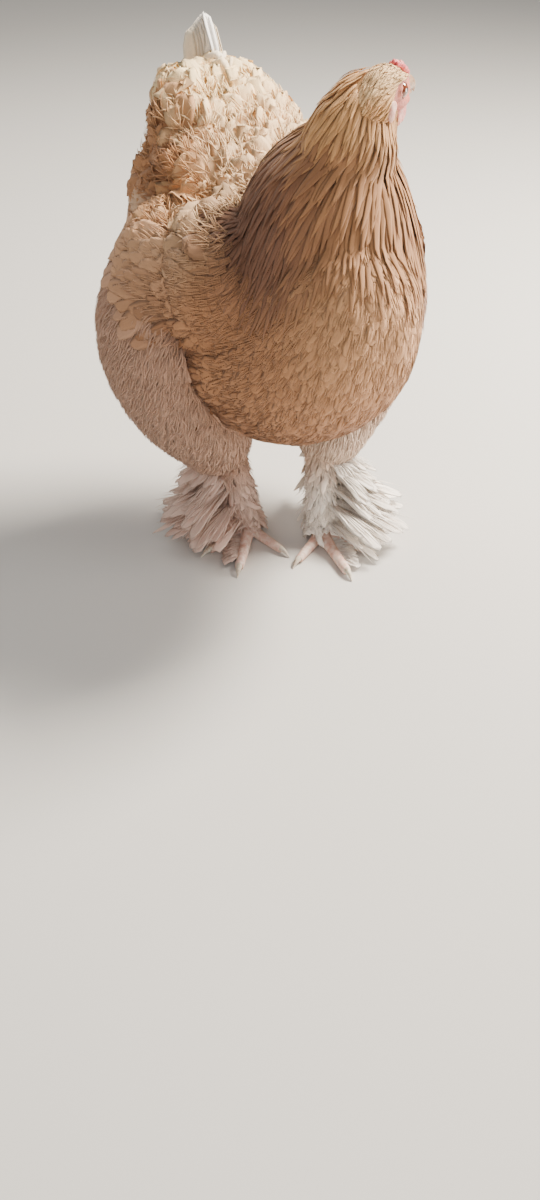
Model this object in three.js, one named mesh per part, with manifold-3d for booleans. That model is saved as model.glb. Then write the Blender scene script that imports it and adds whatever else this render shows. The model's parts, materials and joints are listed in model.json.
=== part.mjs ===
// A life-size Brahma hen, buff, standing and looking back over its left shoulder.
// Millimetres, +Z up. The hen faces -Y, so its left side is +X.
import * as THREE from "three";
import { LoftGeometry } from "three/addons/geometries/LoftGeometry.js";
import { mergeVertices } from "three/addons/utils/BufferGeometryUtils.js";
import Module from "manifold-3d";

const wasm = await Module();
wasm.setup();

const degrees = THREE.MathUtils.degToRad;

// Gap that touching pieces keep.
const GAP = 0.35;

// Torso stations from breast to rump: forward, side, underside, top, half width, narrowing of the top.
const TORSO = [
  [184, -16, 300, 346, 22, 0],
  [170, -16, 254, 374, 50, 0],
  [142, -16, 211, 398, 76, 0.02],
  [100, -15, 177, 412, 94, 0.06],
  [50, -12, 153, 413, 108, 0.08],
  [0, -6, 148, 406, 120, 0.1],
  [-46, -1, 154, 414, 129, 0.12],
  [-90, 3, 172, 446, 132, 0.16],
  [-128, 8, 205, 472, 127, 0.18],
  [-159, 11, 248, 486, 106, 0.18],
  [-180, 12, 296, 476, 66, 0.14],
];
const TORSO_RINGS = 18;
const TORSO_SIDES = 24;
// Power that makes the torso's section a little boxier than an ellipse.
const TORSO_ROUND = 0.92;

// Neck core from its foot inside the shoulders to the nape, in side, forward, up.
const NECK_LINE = [
  [-4, 66, 330],
  [-2, 66, 395],
  [9, 76, 450],
  [24, 90, 492],
];
const NECK_RADII = [94, 76, 41, 25];
// Hackle tiers from nape to cape: share of the neck, feathers, length, width.
const HACKLE_TIERS = [
  [0.93, 6, 42, 26],
  [0.78, 8, 54, 27],
  [0.63, 9, 62, 31],
  [0.48, 10, 64, 35],
  [0.34, 11, 58, 38],
];
const HACKLE_LIFT = 8.5;

// Head, about its centre between the eyes.
const HEAD_AT = [30, 96, 506];
const HEAD_TURN = degrees(108);
const HEAD_HALF_WIDTH = 18;
const EYE_RADIUS = 7;
const EYE_PLACE = [12.2, 5, 1];
const BEAK_ROOT = 24;
const BEAK_LENGTH = 27;
const COMB_PEAS = 4;

// Wing core over the flank, in forward and up, and how far the wing stands off the torso.
const WING_OUTLINE = [
  [78, 332],
  [60, 366],
  [0, 382],
  [-70, 384],
  [-112, 366],
  [-96, 306],
  [-40, 262],
  [28, 262],
  [70, 294],
];
const WING_CORE_DEPTH = 4;
const WING_DEPTH = 19;
// Wing tiers: roots of the lowest and highest feather and their tips, in forward and up, then how
// many feathers, their width and how far their tips stand off the torso.
const WING_TIERS = [
  { roots: [[-30, 266], [-44, 306]], tips: [[-152, 290], [-176, 330]], many: 3, width: 25, off: 5 },
  { roots: [[0, 264], [-16, 368]], tips: [[-130, 272], [-184, 384]], many: 6, width: 29, off: 8 },
  { roots: [[42, 266], [26, 374]], tips: [[-34, 254], [-62, 392]], many: 5, width: 32, off: 10 },
  { roots: [[62, 280], [52, 372]], tips: [[4, 260], [-14, 388]], many: 4, width: 34, off: 11.5 },
  { roots: [[76, 302], [68, 360]], tips: [[38, 280], [26, 378]], many: 3, width: 33, off: 13 },
];

// Tail core inside the rump, then the fan: each side's feathers from the ridge outwards.
const TAIL_LINE = [
  [11, -128, 400],
  [12, -158, 440],
  [13, -178, 478],
];
const TAIL_RADII = [36, 34, 15];
const TAIL_FEATHERS = 6;
const TAIL_LENGTH = 84;
const TAIL_WIDTH = 27;
const TAIL_COVERTS = 6;
const TAIL_COVERT_LENGTH = 62;

// Legs: foot and hock in side and forward, and how far the foot is turned out.
const LEGS = {
  left: { sign: 1, foot: [24, 38], hock: [40, 8], turn: degrees(-11) },
  right: { sign: -1, foot: [-43, -18], hock: [-58, -44], turn: degrees(40) },
};
const HOCK_HEIGHT = 116;
const SHANK_RADIUS = 9.5;
const TOE_FLAT = 1.2;
const CLAW_LENGTH = 14;
// Toes of one foot: name, angle from straight ahead, length to the claw, radius.
const TOES = [
  ["inner", -51, 56, 6.4],
  ["middle", 0, 76, 7],
  ["outer", 40, 62, 6.4],
  ["hind", 178, 32, 5.8],
];

// Thigh fluff: the tier of loose locks round its lower end.
const THIGH_LOCKS = 11;
const THIGH_LOCK_LENGTH = 58;
const THIGH_LOCK_WIDTH = 46;

// Foot feathering on the outer side, by tiers down the shank: root height, tip height, reach,
// first and last angle from straight ahead, feathers, width.
const BOOT_TIERS = [
  [92, 48, 78, 50, 158, 4, 32],
  [70, 26, 104, 38, 152, 5, 34],
  [47, 13, 112, 24, 146, 6, 34],
  [26, 7, 88, 26, 146, 5, 32],
];
// Small feathers along the outer and middle toes: toe, share of the toe, reach.
const TOE_FEATHERS = [
  ["outer", 0.4, 46],
  ["outer", 0.72, 34],
  ["middle", 0.42, 34],
  ["middle", 0.64, 28],
];

const COLOURS = {
  buff: 0xc79a63,
  cream: 0xe6d3b4,
  hackle: 0xa8743f,
  comb: 0xd9485a,
  horn: 0xcdbb98,
  scale: 0xd9b98f,
  eye: 0xa4501c,
};

// Widths of a feather along its length, before the point of its tip.
const LANCE = [[0, 0.6], [0.4, 1], [0.78, 0.7]];
const ROUND_TIP = [[0, 0.45], [0.36, 0.9], [0.74, 1], [0.93, 0.62]];

const finish = (colour, roughness = 0.8) =>
  new THREE.MeshStandardMaterial({ color: colour, roughness, metalness: 0 });

// A place given as side, forward, up.
const at = (side, forward, up) => new THREE.Vector3(side, -forward, up);

const mix = THREE.MathUtils.lerp;
const mixPair = (a, b, t) => [mix(a[0], b[0], t), mix(a[1], b[1], t)];

// Catmull-Rom through rows of numbers, read at a share from 0 to 1.
function along(rows, share) {
  const place = share * (rows.length - 1);
  const i = Math.min(Math.floor(place), rows.length - 2);
  const t = place - i;
  const row = (n) => rows[THREE.MathUtils.clamp(n, 0, rows.length - 1)];
  const [a, b, c, d] = [row(i - 1), row(i), row(i + 1), row(i + 2)];
  return b.map((_, k) => {
    const bend = 2 * a[k] - 5 * b[k] + 4 * c[k] - d[k];
    const rise = -a[k] + 3 * b[k] - 3 * c[k] + d[k];
    return 0.5 * (2 * b[k] + (c[k] - a[k]) * t + bend * t * t + rise * t ** 3);
  });
}

// A closed three.js geometry as a manifold solid, the right way out.
function solid(geometry) {
  const bare = new THREE.BufferGeometry();
  bare.setAttribute("position", geometry.getAttribute("position"));
  if (geometry.index) bare.setIndex(geometry.index);
  const merged = mergeVertices(bare, 1e-4);
  const kept = [];
  const index = merged.index.array;
  for (let i = 0; i < index.length; i += 3) {
    const [a, b, c] = [index[i], index[i + 1], index[i + 2]];
    if (a !== b && b !== c && c !== a) kept.push(a, b, c);
  }
  const build = (faces) =>
    new wasm.Manifold(
      new wasm.Mesh({
        numProp: 3,
        vertProperties: merged.attributes.position.array,
        triVerts: new Uint32Array(faces),
      }),
    );
  const made = build(kept);
  if (made.volume() > 0) return made;
  const turned = [];
  for (let i = 0; i < kept.length; i += 3) turned.push(kept[i], kept[i + 2], kept[i + 1]);
  return build(turned);
}

// A manifold's largest closed body as a three.js geometry.
function geometryOf(manifold) {
  const bodies = manifold.decompose();
  bodies.sort((a, b) => b.volume() - a.volume());
  const mesh = bodies[0].getMesh();
  const geometry = new THREE.BufferGeometry();
  const points = new Float32Array(mesh.numVert * 3);
  for (let i = 0; i < mesh.numVert; i++) {
    points.set(mesh.vertProperties.subarray(i * mesh.numProp, i * mesh.numProp + 3), i * 3);
  }
  geometry.setAttribute("position", new THREE.BufferAttribute(points, 3));
  geometry.setIndex(new THREE.BufferAttribute(mesh.triVerts, 1));
  return geometry;
}

const joined = (pieces) => wasm.Manifold.union(pieces);

// A closed loft through rings, each ring shrunk to its middle at both ends.
function loft(rings) {
  const middle = (ring) => {
    const centre = new THREE.Vector3();
    ring.forEach((p) => centre.addScaledVector(p, 1 / ring.length));
    return ring.map(() => centre.clone());
  };
  return solid(new LoftGeometry([middle(rings[0]), ...rings, middle(rings.at(-1))]));
}

// An ellipsoid at a place, with half sizes in side, forward and up.
function ball(centre, half, sides = 14) {
  const geometry = new THREE.SphereGeometry(1, sides, Math.round(sides * 0.7));
  geometry.rotateX(Math.PI / 2);
  geometry.scale(half[0], half[1], half[2]);
  geometry.translate(centre.x, centre.y, centre.z);
  return solid(geometry);
}

// The surface of a round, tapering form along places: a point at a share of its length, an angle
// round it and a lift off it. Angle 0 is square to both its line and the given front.
function roundForm(places, radii, squash = 1, front = new THREE.Vector3(0, 0, 1)) {
  const curve = new THREE.CatmullRomCurve3(places);
  const rows = radii.map((r) => [r]);
  const form = (share, angle, lift = 0) => {
    const inside = THREE.MathUtils.clamp(share, 0, 1);
    const centre = curve.getPoint(inside);
    const ahead = curve.getTangent(inside);
    centre.addScaledVector(ahead, (share - inside) * form.span);
    const across = front.clone().cross(ahead).normalize();
    const over = ahead.clone().cross(across).normalize();
    const radius = along(rows, inside)[0] + lift;
    return centre
      .addScaledVector(across, Math.cos(angle) * radius)
      .addScaledVector(over, Math.sin(angle) * radius * squash);
  };
  form.span = curve.getLength();
  form.radius = (share) => along(rows, THREE.MathUtils.clamp(share, 0, 1))[0];
  return form;
}

// A round form as a closed solid.
function rod(form, sides = 10, steps = 6, grow = 0) {
  const rings = [];
  for (let i = 0; i <= steps; i++) {
    const ring = [];
    for (let j = 0; j < sides; j++) ring.push(form(i / steps, (j / sides) * 2 * Math.PI, grow));
    rings.push(ring);
  }
  return loft(rings);
}

// One feather: surface(share, aside, lift) gives its places and lift(share) its underside.
// Its three-cornered section is split alike above and below.
function vane(surface, { width, lift, thick = 1.5, profile = LANCE, tilt = 0, grow = 0 }) {
  const points = [];
  const index = [];
  for (const [share, half] of profile) {
    const reach = (width / 2) * half + grow;
    const under = lift(share) - grow;
    const roll = tilt * reach * Math.min(1, 2.5 * share);
    points.push(surface(share, -reach, under - roll));
    points.push(surface(share, 0, under + mix(thick, 0.6, share) + 2 * grow));
    points.push(surface(share, reach, under + roll));
  }
  points.push(surface(1, 0, lift(1)));
  for (let i = 0; i + 1 < profile.length; i++) {
    const [left, ridge, right] = [3 * i, 3 * i + 1, 3 * i + 2];
    const [left2, ridge2, right2] = [left + 3, ridge + 3, right + 3];
    index.push(left, left2, right2, left, right2, right);
    index.push(left, ridge, ridge2, left, ridge2, left2);
    index.push(ridge, right, right2, ridge, right2, ridge2);
  }
  const end = 3 * (profile.length - 1);
  const tip = end + 3;
  index.push(0, 2, 1, end, tip, end + 2, end, end + 1, tip, end + 1, end + 2, tip);
  const geometry = new THREE.BufferGeometry().setFromPoints(points);
  geometry.setIndex(index);
  return solid(geometry);
}

// A straight feather from a root, with its lie, the side it faces and how it bends to that side.
function fanSurface(root, lie, face, length, bend = 0) {
  const ahead = lie.clone().normalize();
  const across = ahead.clone().cross(face).normalize();
  const over = across.clone().cross(ahead);
  return (share, aside, lift) =>
    root
      .clone()
      .addScaledVector(ahead, share * length)
      .addScaledVector(across, aside)
      .addScaledVector(over, lift + bend * share * share);
}

// Torso

// The torso's section at a distance forward: side, underside, top, half width, narrowing.
function torsoSection(forward) {
  let [low, high] = [0, 1];
  for (let i = 0; i < 24; i++) {
    const half = (low + high) / 2;
    if (along(TORSO, half)[0] > forward) low = half;
    else high = half;
  }
  return along(TORSO, low).slice(1);
}

const torsoMiddle = (bottom, top, pinch) => bottom + (top - bottom) * (0.47 - 0.3 * pinch);

function torsoRing(share, grow) {
  const [forward, lean, bottom, top, half, pinch] = along(TORSO, share);
  const middle = torsoMiddle(bottom, top, pinch);
  const ring = [];
  for (let j = 0; j < TORSO_SIDES; j++) {
    const angle = (j / TORSO_SIDES) * 2 * Math.PI;
    const side = Math.sign(Math.cos(angle)) * Math.abs(Math.cos(angle)) ** TORSO_ROUND;
    const lift = Math.sign(Math.sin(angle)) * Math.abs(Math.sin(angle)) ** TORSO_ROUND;
    const reach = lift > 0 ? top - middle : middle - bottom;
    const narrow = 1 - pinch * Math.max(0, lift) ** 1.5;
    ring.push(at(lean + side * (half * narrow + grow), forward, middle + lift * (reach + grow)));
  }
  return ring;
}

function torsoShape(grow = 0) {
  const rings = [];
  for (let i = 0; i <= TORSO_RINGS; i++) {
    const share = 0.5 - 0.5 * Math.cos((i / TORSO_RINGS) * Math.PI);
    rings.push(torsoRing(share, grow));
  }
  const push = (ring, by) => ring.map((p) => p.clone().setY(p.y + by));
  return loft([push(rings[0], -grow), ...rings, push(rings.at(-1), grow)]);
}

// How far a place is outside the torso's section, as a share of the section's size.
function outsideTorso(p) {
  const [lean, bottom, top, half, pinch] = torsoSection(-p.y);
  const middle = torsoMiddle(bottom, top, pinch);
  const lift = (p.z - middle) / (p.z > middle ? top - middle : middle - bottom);
  const narrow = 1 - pinch * THREE.MathUtils.clamp(lift, 0, 1) ** 1.5;
  const side = (p.x - lean) / (half * narrow);
  const power = 2 / TORSO_ROUND;
  return (Math.abs(side) ** power + Math.abs(lift) ** power) ** (1 / power) - 1;
}

// Moves a place off the torso until it stands a distance away from it.
function clearOfTorso(place, away) {
  const p = place.clone();
  const step = 0.5;
  for (let i = 0; i < 6; i++) {
    const value = outsideTorso(p);
    const slope = new THREE.Vector3(
      outsideTorso(p.clone().setX(p.x + step)) - value,
      outsideTorso(p.clone().setY(p.y + step)) - value,
      outsideTorso(p.clone().setZ(p.z + step)) - value,
    ).divideScalar(step);
    const distance = value / slope.length();
    if (distance >= away - 0.01) break;
    p.addScaledVector(slope.normalize(), Math.min(away - distance, 30));
  }
  return p;
}

// A place on a flank of the torso by forward and up, lifted off it.
function flank(sign, forward, up, lift) {
  const [lean, bottom, top, half, pinch] = torsoSection(forward);
  const middle = torsoMiddle(bottom, top, pinch);
  const reach = (up > middle ? top - middle : middle - bottom) + lift;
  const rise = THREE.MathUtils.clamp((up - middle) / reach, -0.98, 0.98);
  const narrow = 1 - pinch * Math.max(0, rise) ** 1.5;
  const power = 2 / TORSO_ROUND;
  const wide = (1 - Math.abs(rise) ** power) ** (1 / power);
  return at(lean + sign * wide * (half * narrow + lift), forward, up);
}

// Neck

const neckForm = roundForm(NECK_LINE.map((p) => at(...p)), NECK_RADII, 0.95, at(0, 1, 0));

// Hackle feathers lie down the neck in tiers and spread over the shoulders as a cape.
function hackle() {
  const feathers = [];
  HACKLE_TIERS.forEach(([share, many, length, width], tier) => {
    for (let i = 0; i < many; i++) {
      const angle = ((i + (tier % 2) / 2) / many) * 2 * Math.PI;
      const reach = length * (1 + 0.08 * Math.sin(i * 2.4 + tier));
      const surface = (t, aside, lift) => {
        const down = share - (t * reach) / neckForm.span;
        const round = angle + aside / Math.max(neckForm.radius(down), 20);
        return clearOfTorso(neckForm(down, round, lift), 1.4 + Math.max(lift, 0) * 0.7);
      };
      const lift = (t) => mix(-3, HACKLE_LIFT, t ** 0.8);
      feathers.push(vane(surface, { width, lift, thick: 1.1, tilt: 0.02 }));
    }
  });
  return feathers;
}

// Head: everything on it is built facing -Y about the head's centre and turned as one.
const headMatrix = new THREE.Matrix4()
  .makeTranslation(at(...HEAD_AT))
  .multiply(new THREE.Matrix4().makeRotationZ(HEAD_TURN));
const onHead = (piece) => piece.transform(headMatrix.elements);

function headShape(grow = 0) {
  const g = (half) => half.map((h) => h + grow);
  return onHead(
    joined([
      ball(at(0, -3, 1), g([HEAD_HALF_WIDTH, 27, 20]), 11),
      ball(at(0, 14, -3), g([12.5, 18, 14]), 9),
      ball(at(0, -14, -8), g([18, 24, 21]), 9),
      ball(at(11.5, 3, 9.5), g([6, 14, 5]), 7),
      ball(at(-11.5, 3, 9.5), g([6, 14, 5]), 7),
      ball(at(0, 10, -18), g([4, 13, 9]), 7),
    ]),
  );
}

const eyePlace = (sign) => at(sign * EYE_PLACE[0], EYE_PLACE[1], EYE_PLACE[2]);

function eyeShape(sign, grow = 0) {
  const radius = EYE_RADIUS + grow;
  return onHead(ball(eyePlace(sign), [radius, radius, radius], 10));
}

// Upper and lower lid as one ring with an opening longer than it is high.
function lids(sign) {
  const ring = new THREE.TorusGeometry(6.1, 1.5, 4, 11);
  ring.rotateY(Math.PI / 2);
  ring.scale(1, 1.05, 0.84);
  ring.rotateZ(sign * degrees(-8));
  const place = eyePlace(sign);
  ring.translate(place.x + sign * 3.6, place.y, place.z);
  return onHead(solid(ring));
}

// The line of the mouth, cut back from between the beak's halves into the face.
const mouthLine = () => onHead(ball(at(0, 22, -6.6), [16, 17, 0.5], 10));

function head() {
  let made = joined([headShape(), lids(-1), lids(1)]);
  for (const sign of [-1, 1]) made = made.subtract(eyeShape(sign, GAP));
  return made.subtract(mouthLine());
}

function beak(upper, grow = 0) {
  const tip = BEAK_ROOT + BEAK_LENGTH;
  const places = upper
    ? [at(0, 16, 2), at(0, 32, 1), at(0, tip - 6, -3.5), at(0, tip, -9)]
    : [at(0, 16, -8), at(0, 30, -8.6), at(0, tip - 12, -9.4), at(0, tip - 7, -9.8)];
  const radii = upper ? [9, 7.2, 4.2, 0.8] : [6.5, 4.6, 3, 0.8];
  return onHead(rod(roundForm(places, radii, upper ? 0.95 : 0.6), 8, 6, grow));
}

// A slot on each side of the upper beak near its root.
const nostrils = () =>
  joined([-1, 1].map((sign) => onHead(ball(at(sign * 6.4, 31, 3.2), [1.8, 3.4, 1.1], 6))));

// A pea comb: three low rows of small knobs, the middle row highest.
function comb() {
  const peas = [];
  for (const row of [-1, 0, 1]) {
    const height = row === 0 ? 4.6 : 2.6;
    for (let i = 0; i < COMB_PEAS - Math.abs(row); i++) {
      const forward = 30 - i * 7.5 - Math.abs(row) * 2;
      const up = 10.5 + Math.sin((i / 3) * 1.5) * 8;
      const size = 4.2 + Math.sin(((i + 0.6) / COMB_PEAS) * Math.PI);
      peas.push(ball(at(row * 4.6, forward, up + height * 0.5), [size * 0.75, size, height], 6));
    }
  }
  return onHead(joined(peas));
}

const wattle = (sign, grow = 0) =>
  onHead(
    joined([
      ball(at(sign * 7, 17, -20), [2.6 + grow, 8 + grow, 9 + grow], 7),
      ball(at(sign * 7.6, 13, -24), [2.2 + grow, 4 + grow, 6 + grow], 6),
    ]),
  );

const earlobe = (sign, grow = 0) =>
  onHead(ball(at(sign * 17, -13, -13), [3.4 + grow, 5.5 + grow, 9 + grow], 8));

// Wings

// A prism across the flank over an outline in forward and up.
function flankPrism(sign, outline, sides) {
  const walls = sides.map((side) => outline.map(([f, u]) => at(sign * side, f, u)));
  return loft(walls);
}

function wingCore(sign) {
  const curve = new THREE.CatmullRomCurve3(WING_OUTLINE.map(([f, u]) => at(0, f, u)), true);
  const edge = curve.getPoints(22).slice(0, 22).map((p) => [-p.y, p.z]);
  return torsoShape(WING_CORE_DEPTH).intersect(flankPrism(sign, edge, [20, 180]));
}

// The space a folded wing takes with its feathers, from which its neighbours stay clear.
function wingSpace(sign) {
  const [behind, beside] = [12, 22];
  const pieces = WING_TIERS.map(({ roots: [low, high], tips: [lowTip, highTip] }) => {
    const edge = [
      [low[0] + behind, low[1] - beside],
      [high[0] + behind, high[1] + beside],
      [highTip[0] - behind, highTip[1] + beside],
      [lowTip[0] - behind, lowTip[1] - beside],
    ];
    return flankPrism(sign, edge, [20, 190]);
  });
  return torsoShape(WING_DEPTH).intersect(joined([wingCore(sign), ...pieces]));
}

function wingFeathers(sign) {
  const feathers = [];
  for (const { roots, tips, many, width, off } of WING_TIERS) {
    for (let i = 0; i < many; i++) {
      const row = i / (many - 1);
      const root = mixPair(...roots, row);
      const tip = mixPair(...tips, row);
      const length = Math.hypot(tip[0] - root[0], tip[1] - root[1]);
      const lie = [(tip[0] - root[0]) / length, (tip[1] - root[1]) / length];
      const bow = 5 * (0.5 - row);
      const surface = (t, aside, lift) => {
        const drift = aside + bow * 4 * t * (1 - t);
        const [forward, up] = mixPair(root, tip, t);
        return flank(sign, forward - lie[1] * drift, up + lie[0] * drift, lift);
      };
      const lift = (t) => mix(2.4, off, Math.min(1, t * 1.4));
      feathers.push(vane(surface, { width, lift, thick: 1.2, profile: ROUND_TIP, tilt: 0.15 }));
    }
  }
  return feathers;
}

// Tail

const tailForm = roundForm(TAIL_LINE.map((p) => at(...p)), TAIL_RADII, 1.15);

// The main feathers stand in a tent with a narrow ridge, their roots under a tier of coverts.
function tailFeathers() {
  const feathers = [];
  for (const sign of [-1, 1]) {
    for (let i = 0; i < TAIL_FEATHERS; i++) {
      const open = i / (TAIL_FEATHERS - 1);
      const root = at(12 + sign * mix(3, 15, open), mix(-152, -164, open), mix(448, 424, open));
      const lie = at(sign * mix(0.02, 0.36, open), mix(-0.46, -0.98, open), mix(0.89, 0.4, open));
      const face = at(sign * mix(0.75, 0.95, open), mix(-0.15, 0.2, open), mix(0.4, 0.35, open));
      const surface = fanSurface(root, lie, face, TAIL_LENGTH * mix(1, 0.78, open), 5);
      const lift = (t) => mix(-1, 1, t) - 1.6 * i;
      const tilt = -0.05 * sign;
      feathers.push(vane(surface, { width: TAIL_WIDTH, lift, profile: ROUND_TIP, tilt }));
    }
    for (let i = 0; i < TAIL_COVERTS; i++) {
      const open = i / (TAIL_COVERTS - 1);
      const root = at(12 + sign * mix(6, 24, open), mix(-140, -166, open), mix(448, 404, open));
      const lie = at(sign * mix(0.02, 0.4, open), mix(-0.55, -0.98, open), mix(0.84, 0.25, open));
      const face = at(sign * mix(0.7, 0.95, open), mix(0.5, 0.1, open), mix(0.5, 0.4, open));
      const surface = fanSurface(root, lie, face, TAIL_COVERT_LENGTH * mix(1, 0.85, open), 6);
      const lift = (t) => mix(-1, 5, t);
      const tilt = 0.06 * sign;
      feathers.push(vane(surface, { width: TAIL_WIDTH, lift, profile: ROUND_TIP, tilt }));
    }
  }
  return feathers;
}

// Legs

function thighForm(side) {
  const { sign, hock } = LEGS[side];
  const places = [
    at(sign * 96, -58, 336),
    at(sign * 116, hock[1] * 0.4 - 38, 268),
    at(hock[0] * 0.45 + sign * 72, hock[1] * 0.7 - 22, 196),
    at(hock[0] + sign * 14, hock[1], 128),
  ];
  return roundForm(places, [62, 76, 72, 44], 1.05, at(0, 1, 0));
}

// Fluff over the thigh, with a tier of loose locks round its lower end that fall over the hock.
function thigh(side, grow = 0) {
  const form = thighForm(side);
  const pieces = [rod(form, 14, 6, grow)];
  for (let i = 0; i < THIGH_LOCKS; i++) {
    const angle = (i / THIGH_LOCKS) * 2 * Math.PI;
    const length = THIGH_LOCK_LENGTH * (1 + 0.12 * Math.sin(i * 2.1));
    const surface = (t, aside, lift) => {
      const down = 0.6 + (t * length) / form.span;
      return form(down, angle + aside / form.radius(down), lift);
    };
    const lift = (t) => mix(-4, 4, t);
    const shape = { width: THIGH_LOCK_WIDTH, thick: 3, profile: ROUND_TIP, tilt: 0.08 };
    pieces.push(vane(surface, { ...shape, lift, grow }));
  }
  return joined(pieces);
}

function shankCore(side) {
  const { foot, hock } = LEGS[side];
  const places = [
    at(hock[0], hock[1], HOCK_HEIGHT + 10),
    at((foot[0] + hock[0]) / 2, (foot[1] + hock[1]) / 2, 70),
    at(foot[0], foot[1] - 2, 20),
  ];
  const form = roundForm(places, [12, SHANK_RADIUS, SHANK_RADIUS + 1], 1, at(0, 1, 0));
  return rod(form, 10, 5);
}

// The shank's middle at a height.
function shankAt(side, up) {
  const { foot, hock } = LEGS[side];
  const [middle, forward] = mixPair(foot, hock, (up - 20) / (HOCK_HEIGHT - 10));
  return at(middle, forward, up);
}

// Long feathers fan out from the shank's outer side in tiers, drooping to the ground.
function bootFeathers(side) {
  const { sign, turn } = LEGS[side];
  const feathers = [];
  BOOT_TIERS.forEach(([high, low, reach, first, last, many, width], tier) => {
    for (let i = 0; i < many; i++) {
      const share = i / (many - 1);
      const heading = sign * (turn + degrees(mix(first, last, share)));
      const out = at(Math.sin(heading), Math.cos(heading), 0);
      const uneven = 0.05 * Math.sin(i * 2.7 + tier);
      const far = reach * (1 - 0.22 * (2 * share - 1) ** 2 + uneven);
      const root = shankAt(side, high + (i % 2) * 5).addScaledVector(out, SHANK_RADIUS - 6);
      const droop = high - low;
      const lie = out.clone().multiplyScalar(far).setZ(-droop * 0.45);
      const surface = fanSurface(root, lie, at(0, 0, 1), lie.length(), -droop * 0.55);
      const lift = (t) => mix(-1, 0, t);
      const tilt = 0.12 * sign;
      feathers.push(vane(surface, { width, lift, thick: 1.6, profile: ROUND_TIP, tilt }));
    }
  });
  return feathers;
}

// Feet

function toePlace(side, angle, reach, up) {
  const { sign, foot, turn } = LEGS[side];
  const heading = sign * (degrees(angle) + turn);
  return at(foot[0] + Math.sin(heading) * reach, foot[1] + Math.cos(heading) * reach, up);
}

const toeLine = (side, angle, from, to, rise) =>
  [0, 0.35, 0.7, 1].map((share, n) => toePlace(side, angle, mix(from, to, share), rise[n]));

// Cuts off what lies below the floor, which gives the toes their flats.
const aboveFloor = (piece) => piece.trimByPlane([0, 0, 1], 0);

function toes(side, grow = 0) {
  const { foot } = LEGS[side];
  const pieces = [ball(at(foot[0], foot[1], 12), [13 + grow, 14 + grow, 12.5 + grow], 10)];
  for (const [, angle, length, radius] of TOES) {
    const mid = radius - TOE_FLAT;
    const line = toeLine(side, angle, 4, length, [mid + 3, mid + 0.6, mid, mid - 0.6]);
    const form = roundForm(line, [radius + 1.5, radius, radius * 0.92, radius * 0.78]);
    pieces.push(rod(form, 8, 3, grow));
  }
  return aboveFloor(joined(pieces));
}

// Small feathers on the outer sides of the outer and middle toes.
function toeFeathers(side, grow = 0) {
  const { sign, turn } = LEGS[side];
  return TOE_FEATHERS.map(([name, share, reach]) => {
    const [, angle, length, radius] = TOES.find((toe) => toe[0] === name);
    const heading = sign * (turn + degrees(angle + 62));
    const out = at(Math.sin(heading), Math.cos(heading), 0.1);
    const root = toePlace(side, angle, length * share, radius * 1.1);
    const surface = fanSurface(root, out, at(0, 0, 1), reach, -radius - 1.5);
    const lift = (t) => mix(0, 1, t);
    return vane(surface, { width: 15, lift, thick: 1.4, tilt: 0.1 * sign, grow });
  });
}

const foot = (side, grow = 0) => joined([toes(side, grow), ...toeFeathers(side, grow)]);

function claw(side, angle, length, radius) {
  const rise = [radius * 0.75, radius * 0.8, radius * 0.3, 0.4];
  const line = toeLine(side, angle, length - 5, length + CLAW_LENGTH, rise);
  const form = roundForm(line, [radius * 0.62, radius * 0.52, radius * 0.34, 0.6]);
  return aboveFloor(rod(form, 6, 3));
}

// Assembly

const bird = new THREE.Group();

function show(name, manifold, colour, roughness) {
  const mesh = new THREE.Mesh(geometryOf(manifold), finish(colour, roughness));
  mesh.name = name;
  bird.add(mesh);
}

const torsoGrown = torsoShape(GAP);
const headGrown = joined([headShape(GAP), lids(-1), lids(1)]);
const beakGrown = beak(true, GAP);
const hangingGrown = joined([-1, 1].flatMap((sign) => [wattle(sign, GAP), earlobe(sign, GAP)]));
const wingsSpace = joined([wingSpace(-1), wingSpace(1)]);

const neckRoom = joined([torsoGrown, headGrown, hangingGrown, wingsSpace]);
const neck = joined([rod(neckForm, 12, 5), ...hackle()]);
show("torso", torsoShape(), COLOURS.buff);
show("neck", neck.subtract(neckRoom), COLOURS.hackle);
show("head", head(), COLOURS.buff);
show("beak_upper", beak(true).subtract(headGrown).subtract(nostrils()), COLOURS.horn, 0.4);
show("beak_lower", beak(false).subtract(headGrown).subtract(beakGrown), COLOURS.horn, 0.4);
show("comb", comb().subtract(headGrown).subtract(beakGrown), COLOURS.comb, 0.55);
const tail = joined([rod(tailForm, 12, 4), ...tailFeathers()]);
show("tail", tail.subtract(torsoGrown), COLOURS.cream);

for (const [side, { sign }] of Object.entries(LEGS)) {
  show(`eye_${side}`, eyeShape(sign), COLOURS.eye, 0.15);
  show(`wattle_${side}`, wattle(sign).subtract(headGrown), COLOURS.comb, 0.55);
  show(`earlobe_${side}`, earlobe(sign).subtract(headGrown), COLOURS.comb, 0.55);
  const wing = joined([wingCore(sign), ...wingFeathers(sign)]);
  show(`wing_${side}`, wing.subtract(torsoGrown), COLOURS.buff);
  show(`thigh_${side}`, thigh(side).subtract(torsoGrown).subtract(wingsSpace), COLOURS.cream);
  const shank = joined([shankCore(side), ...bootFeathers(side)]);
  const shankRoom = joined([thigh(side, GAP), foot(side, GAP)]);
  show(`shank_${side}`, shank.subtract(shankRoom), COLOURS.cream);
  show(`foot_${side}`, foot(side), COLOURS.scale, 0.6);
  for (const [toe, angle, length, radius] of TOES) {
    const tip = claw(side, angle, length, radius).subtract(toes(side, GAP));
    show(`claw_${side}_${toe}`, tip, COLOURS.horn, 0.4);
  }
}

// The origin is the middle of the bird's box, on the floor.
const box = new THREE.Box3().setFromObject(bird, true);
const middle = box.getCenter(new THREE.Vector3());
bird.position.set(-middle.x, -middle.y, -box.min.z);

export default bird;
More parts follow.
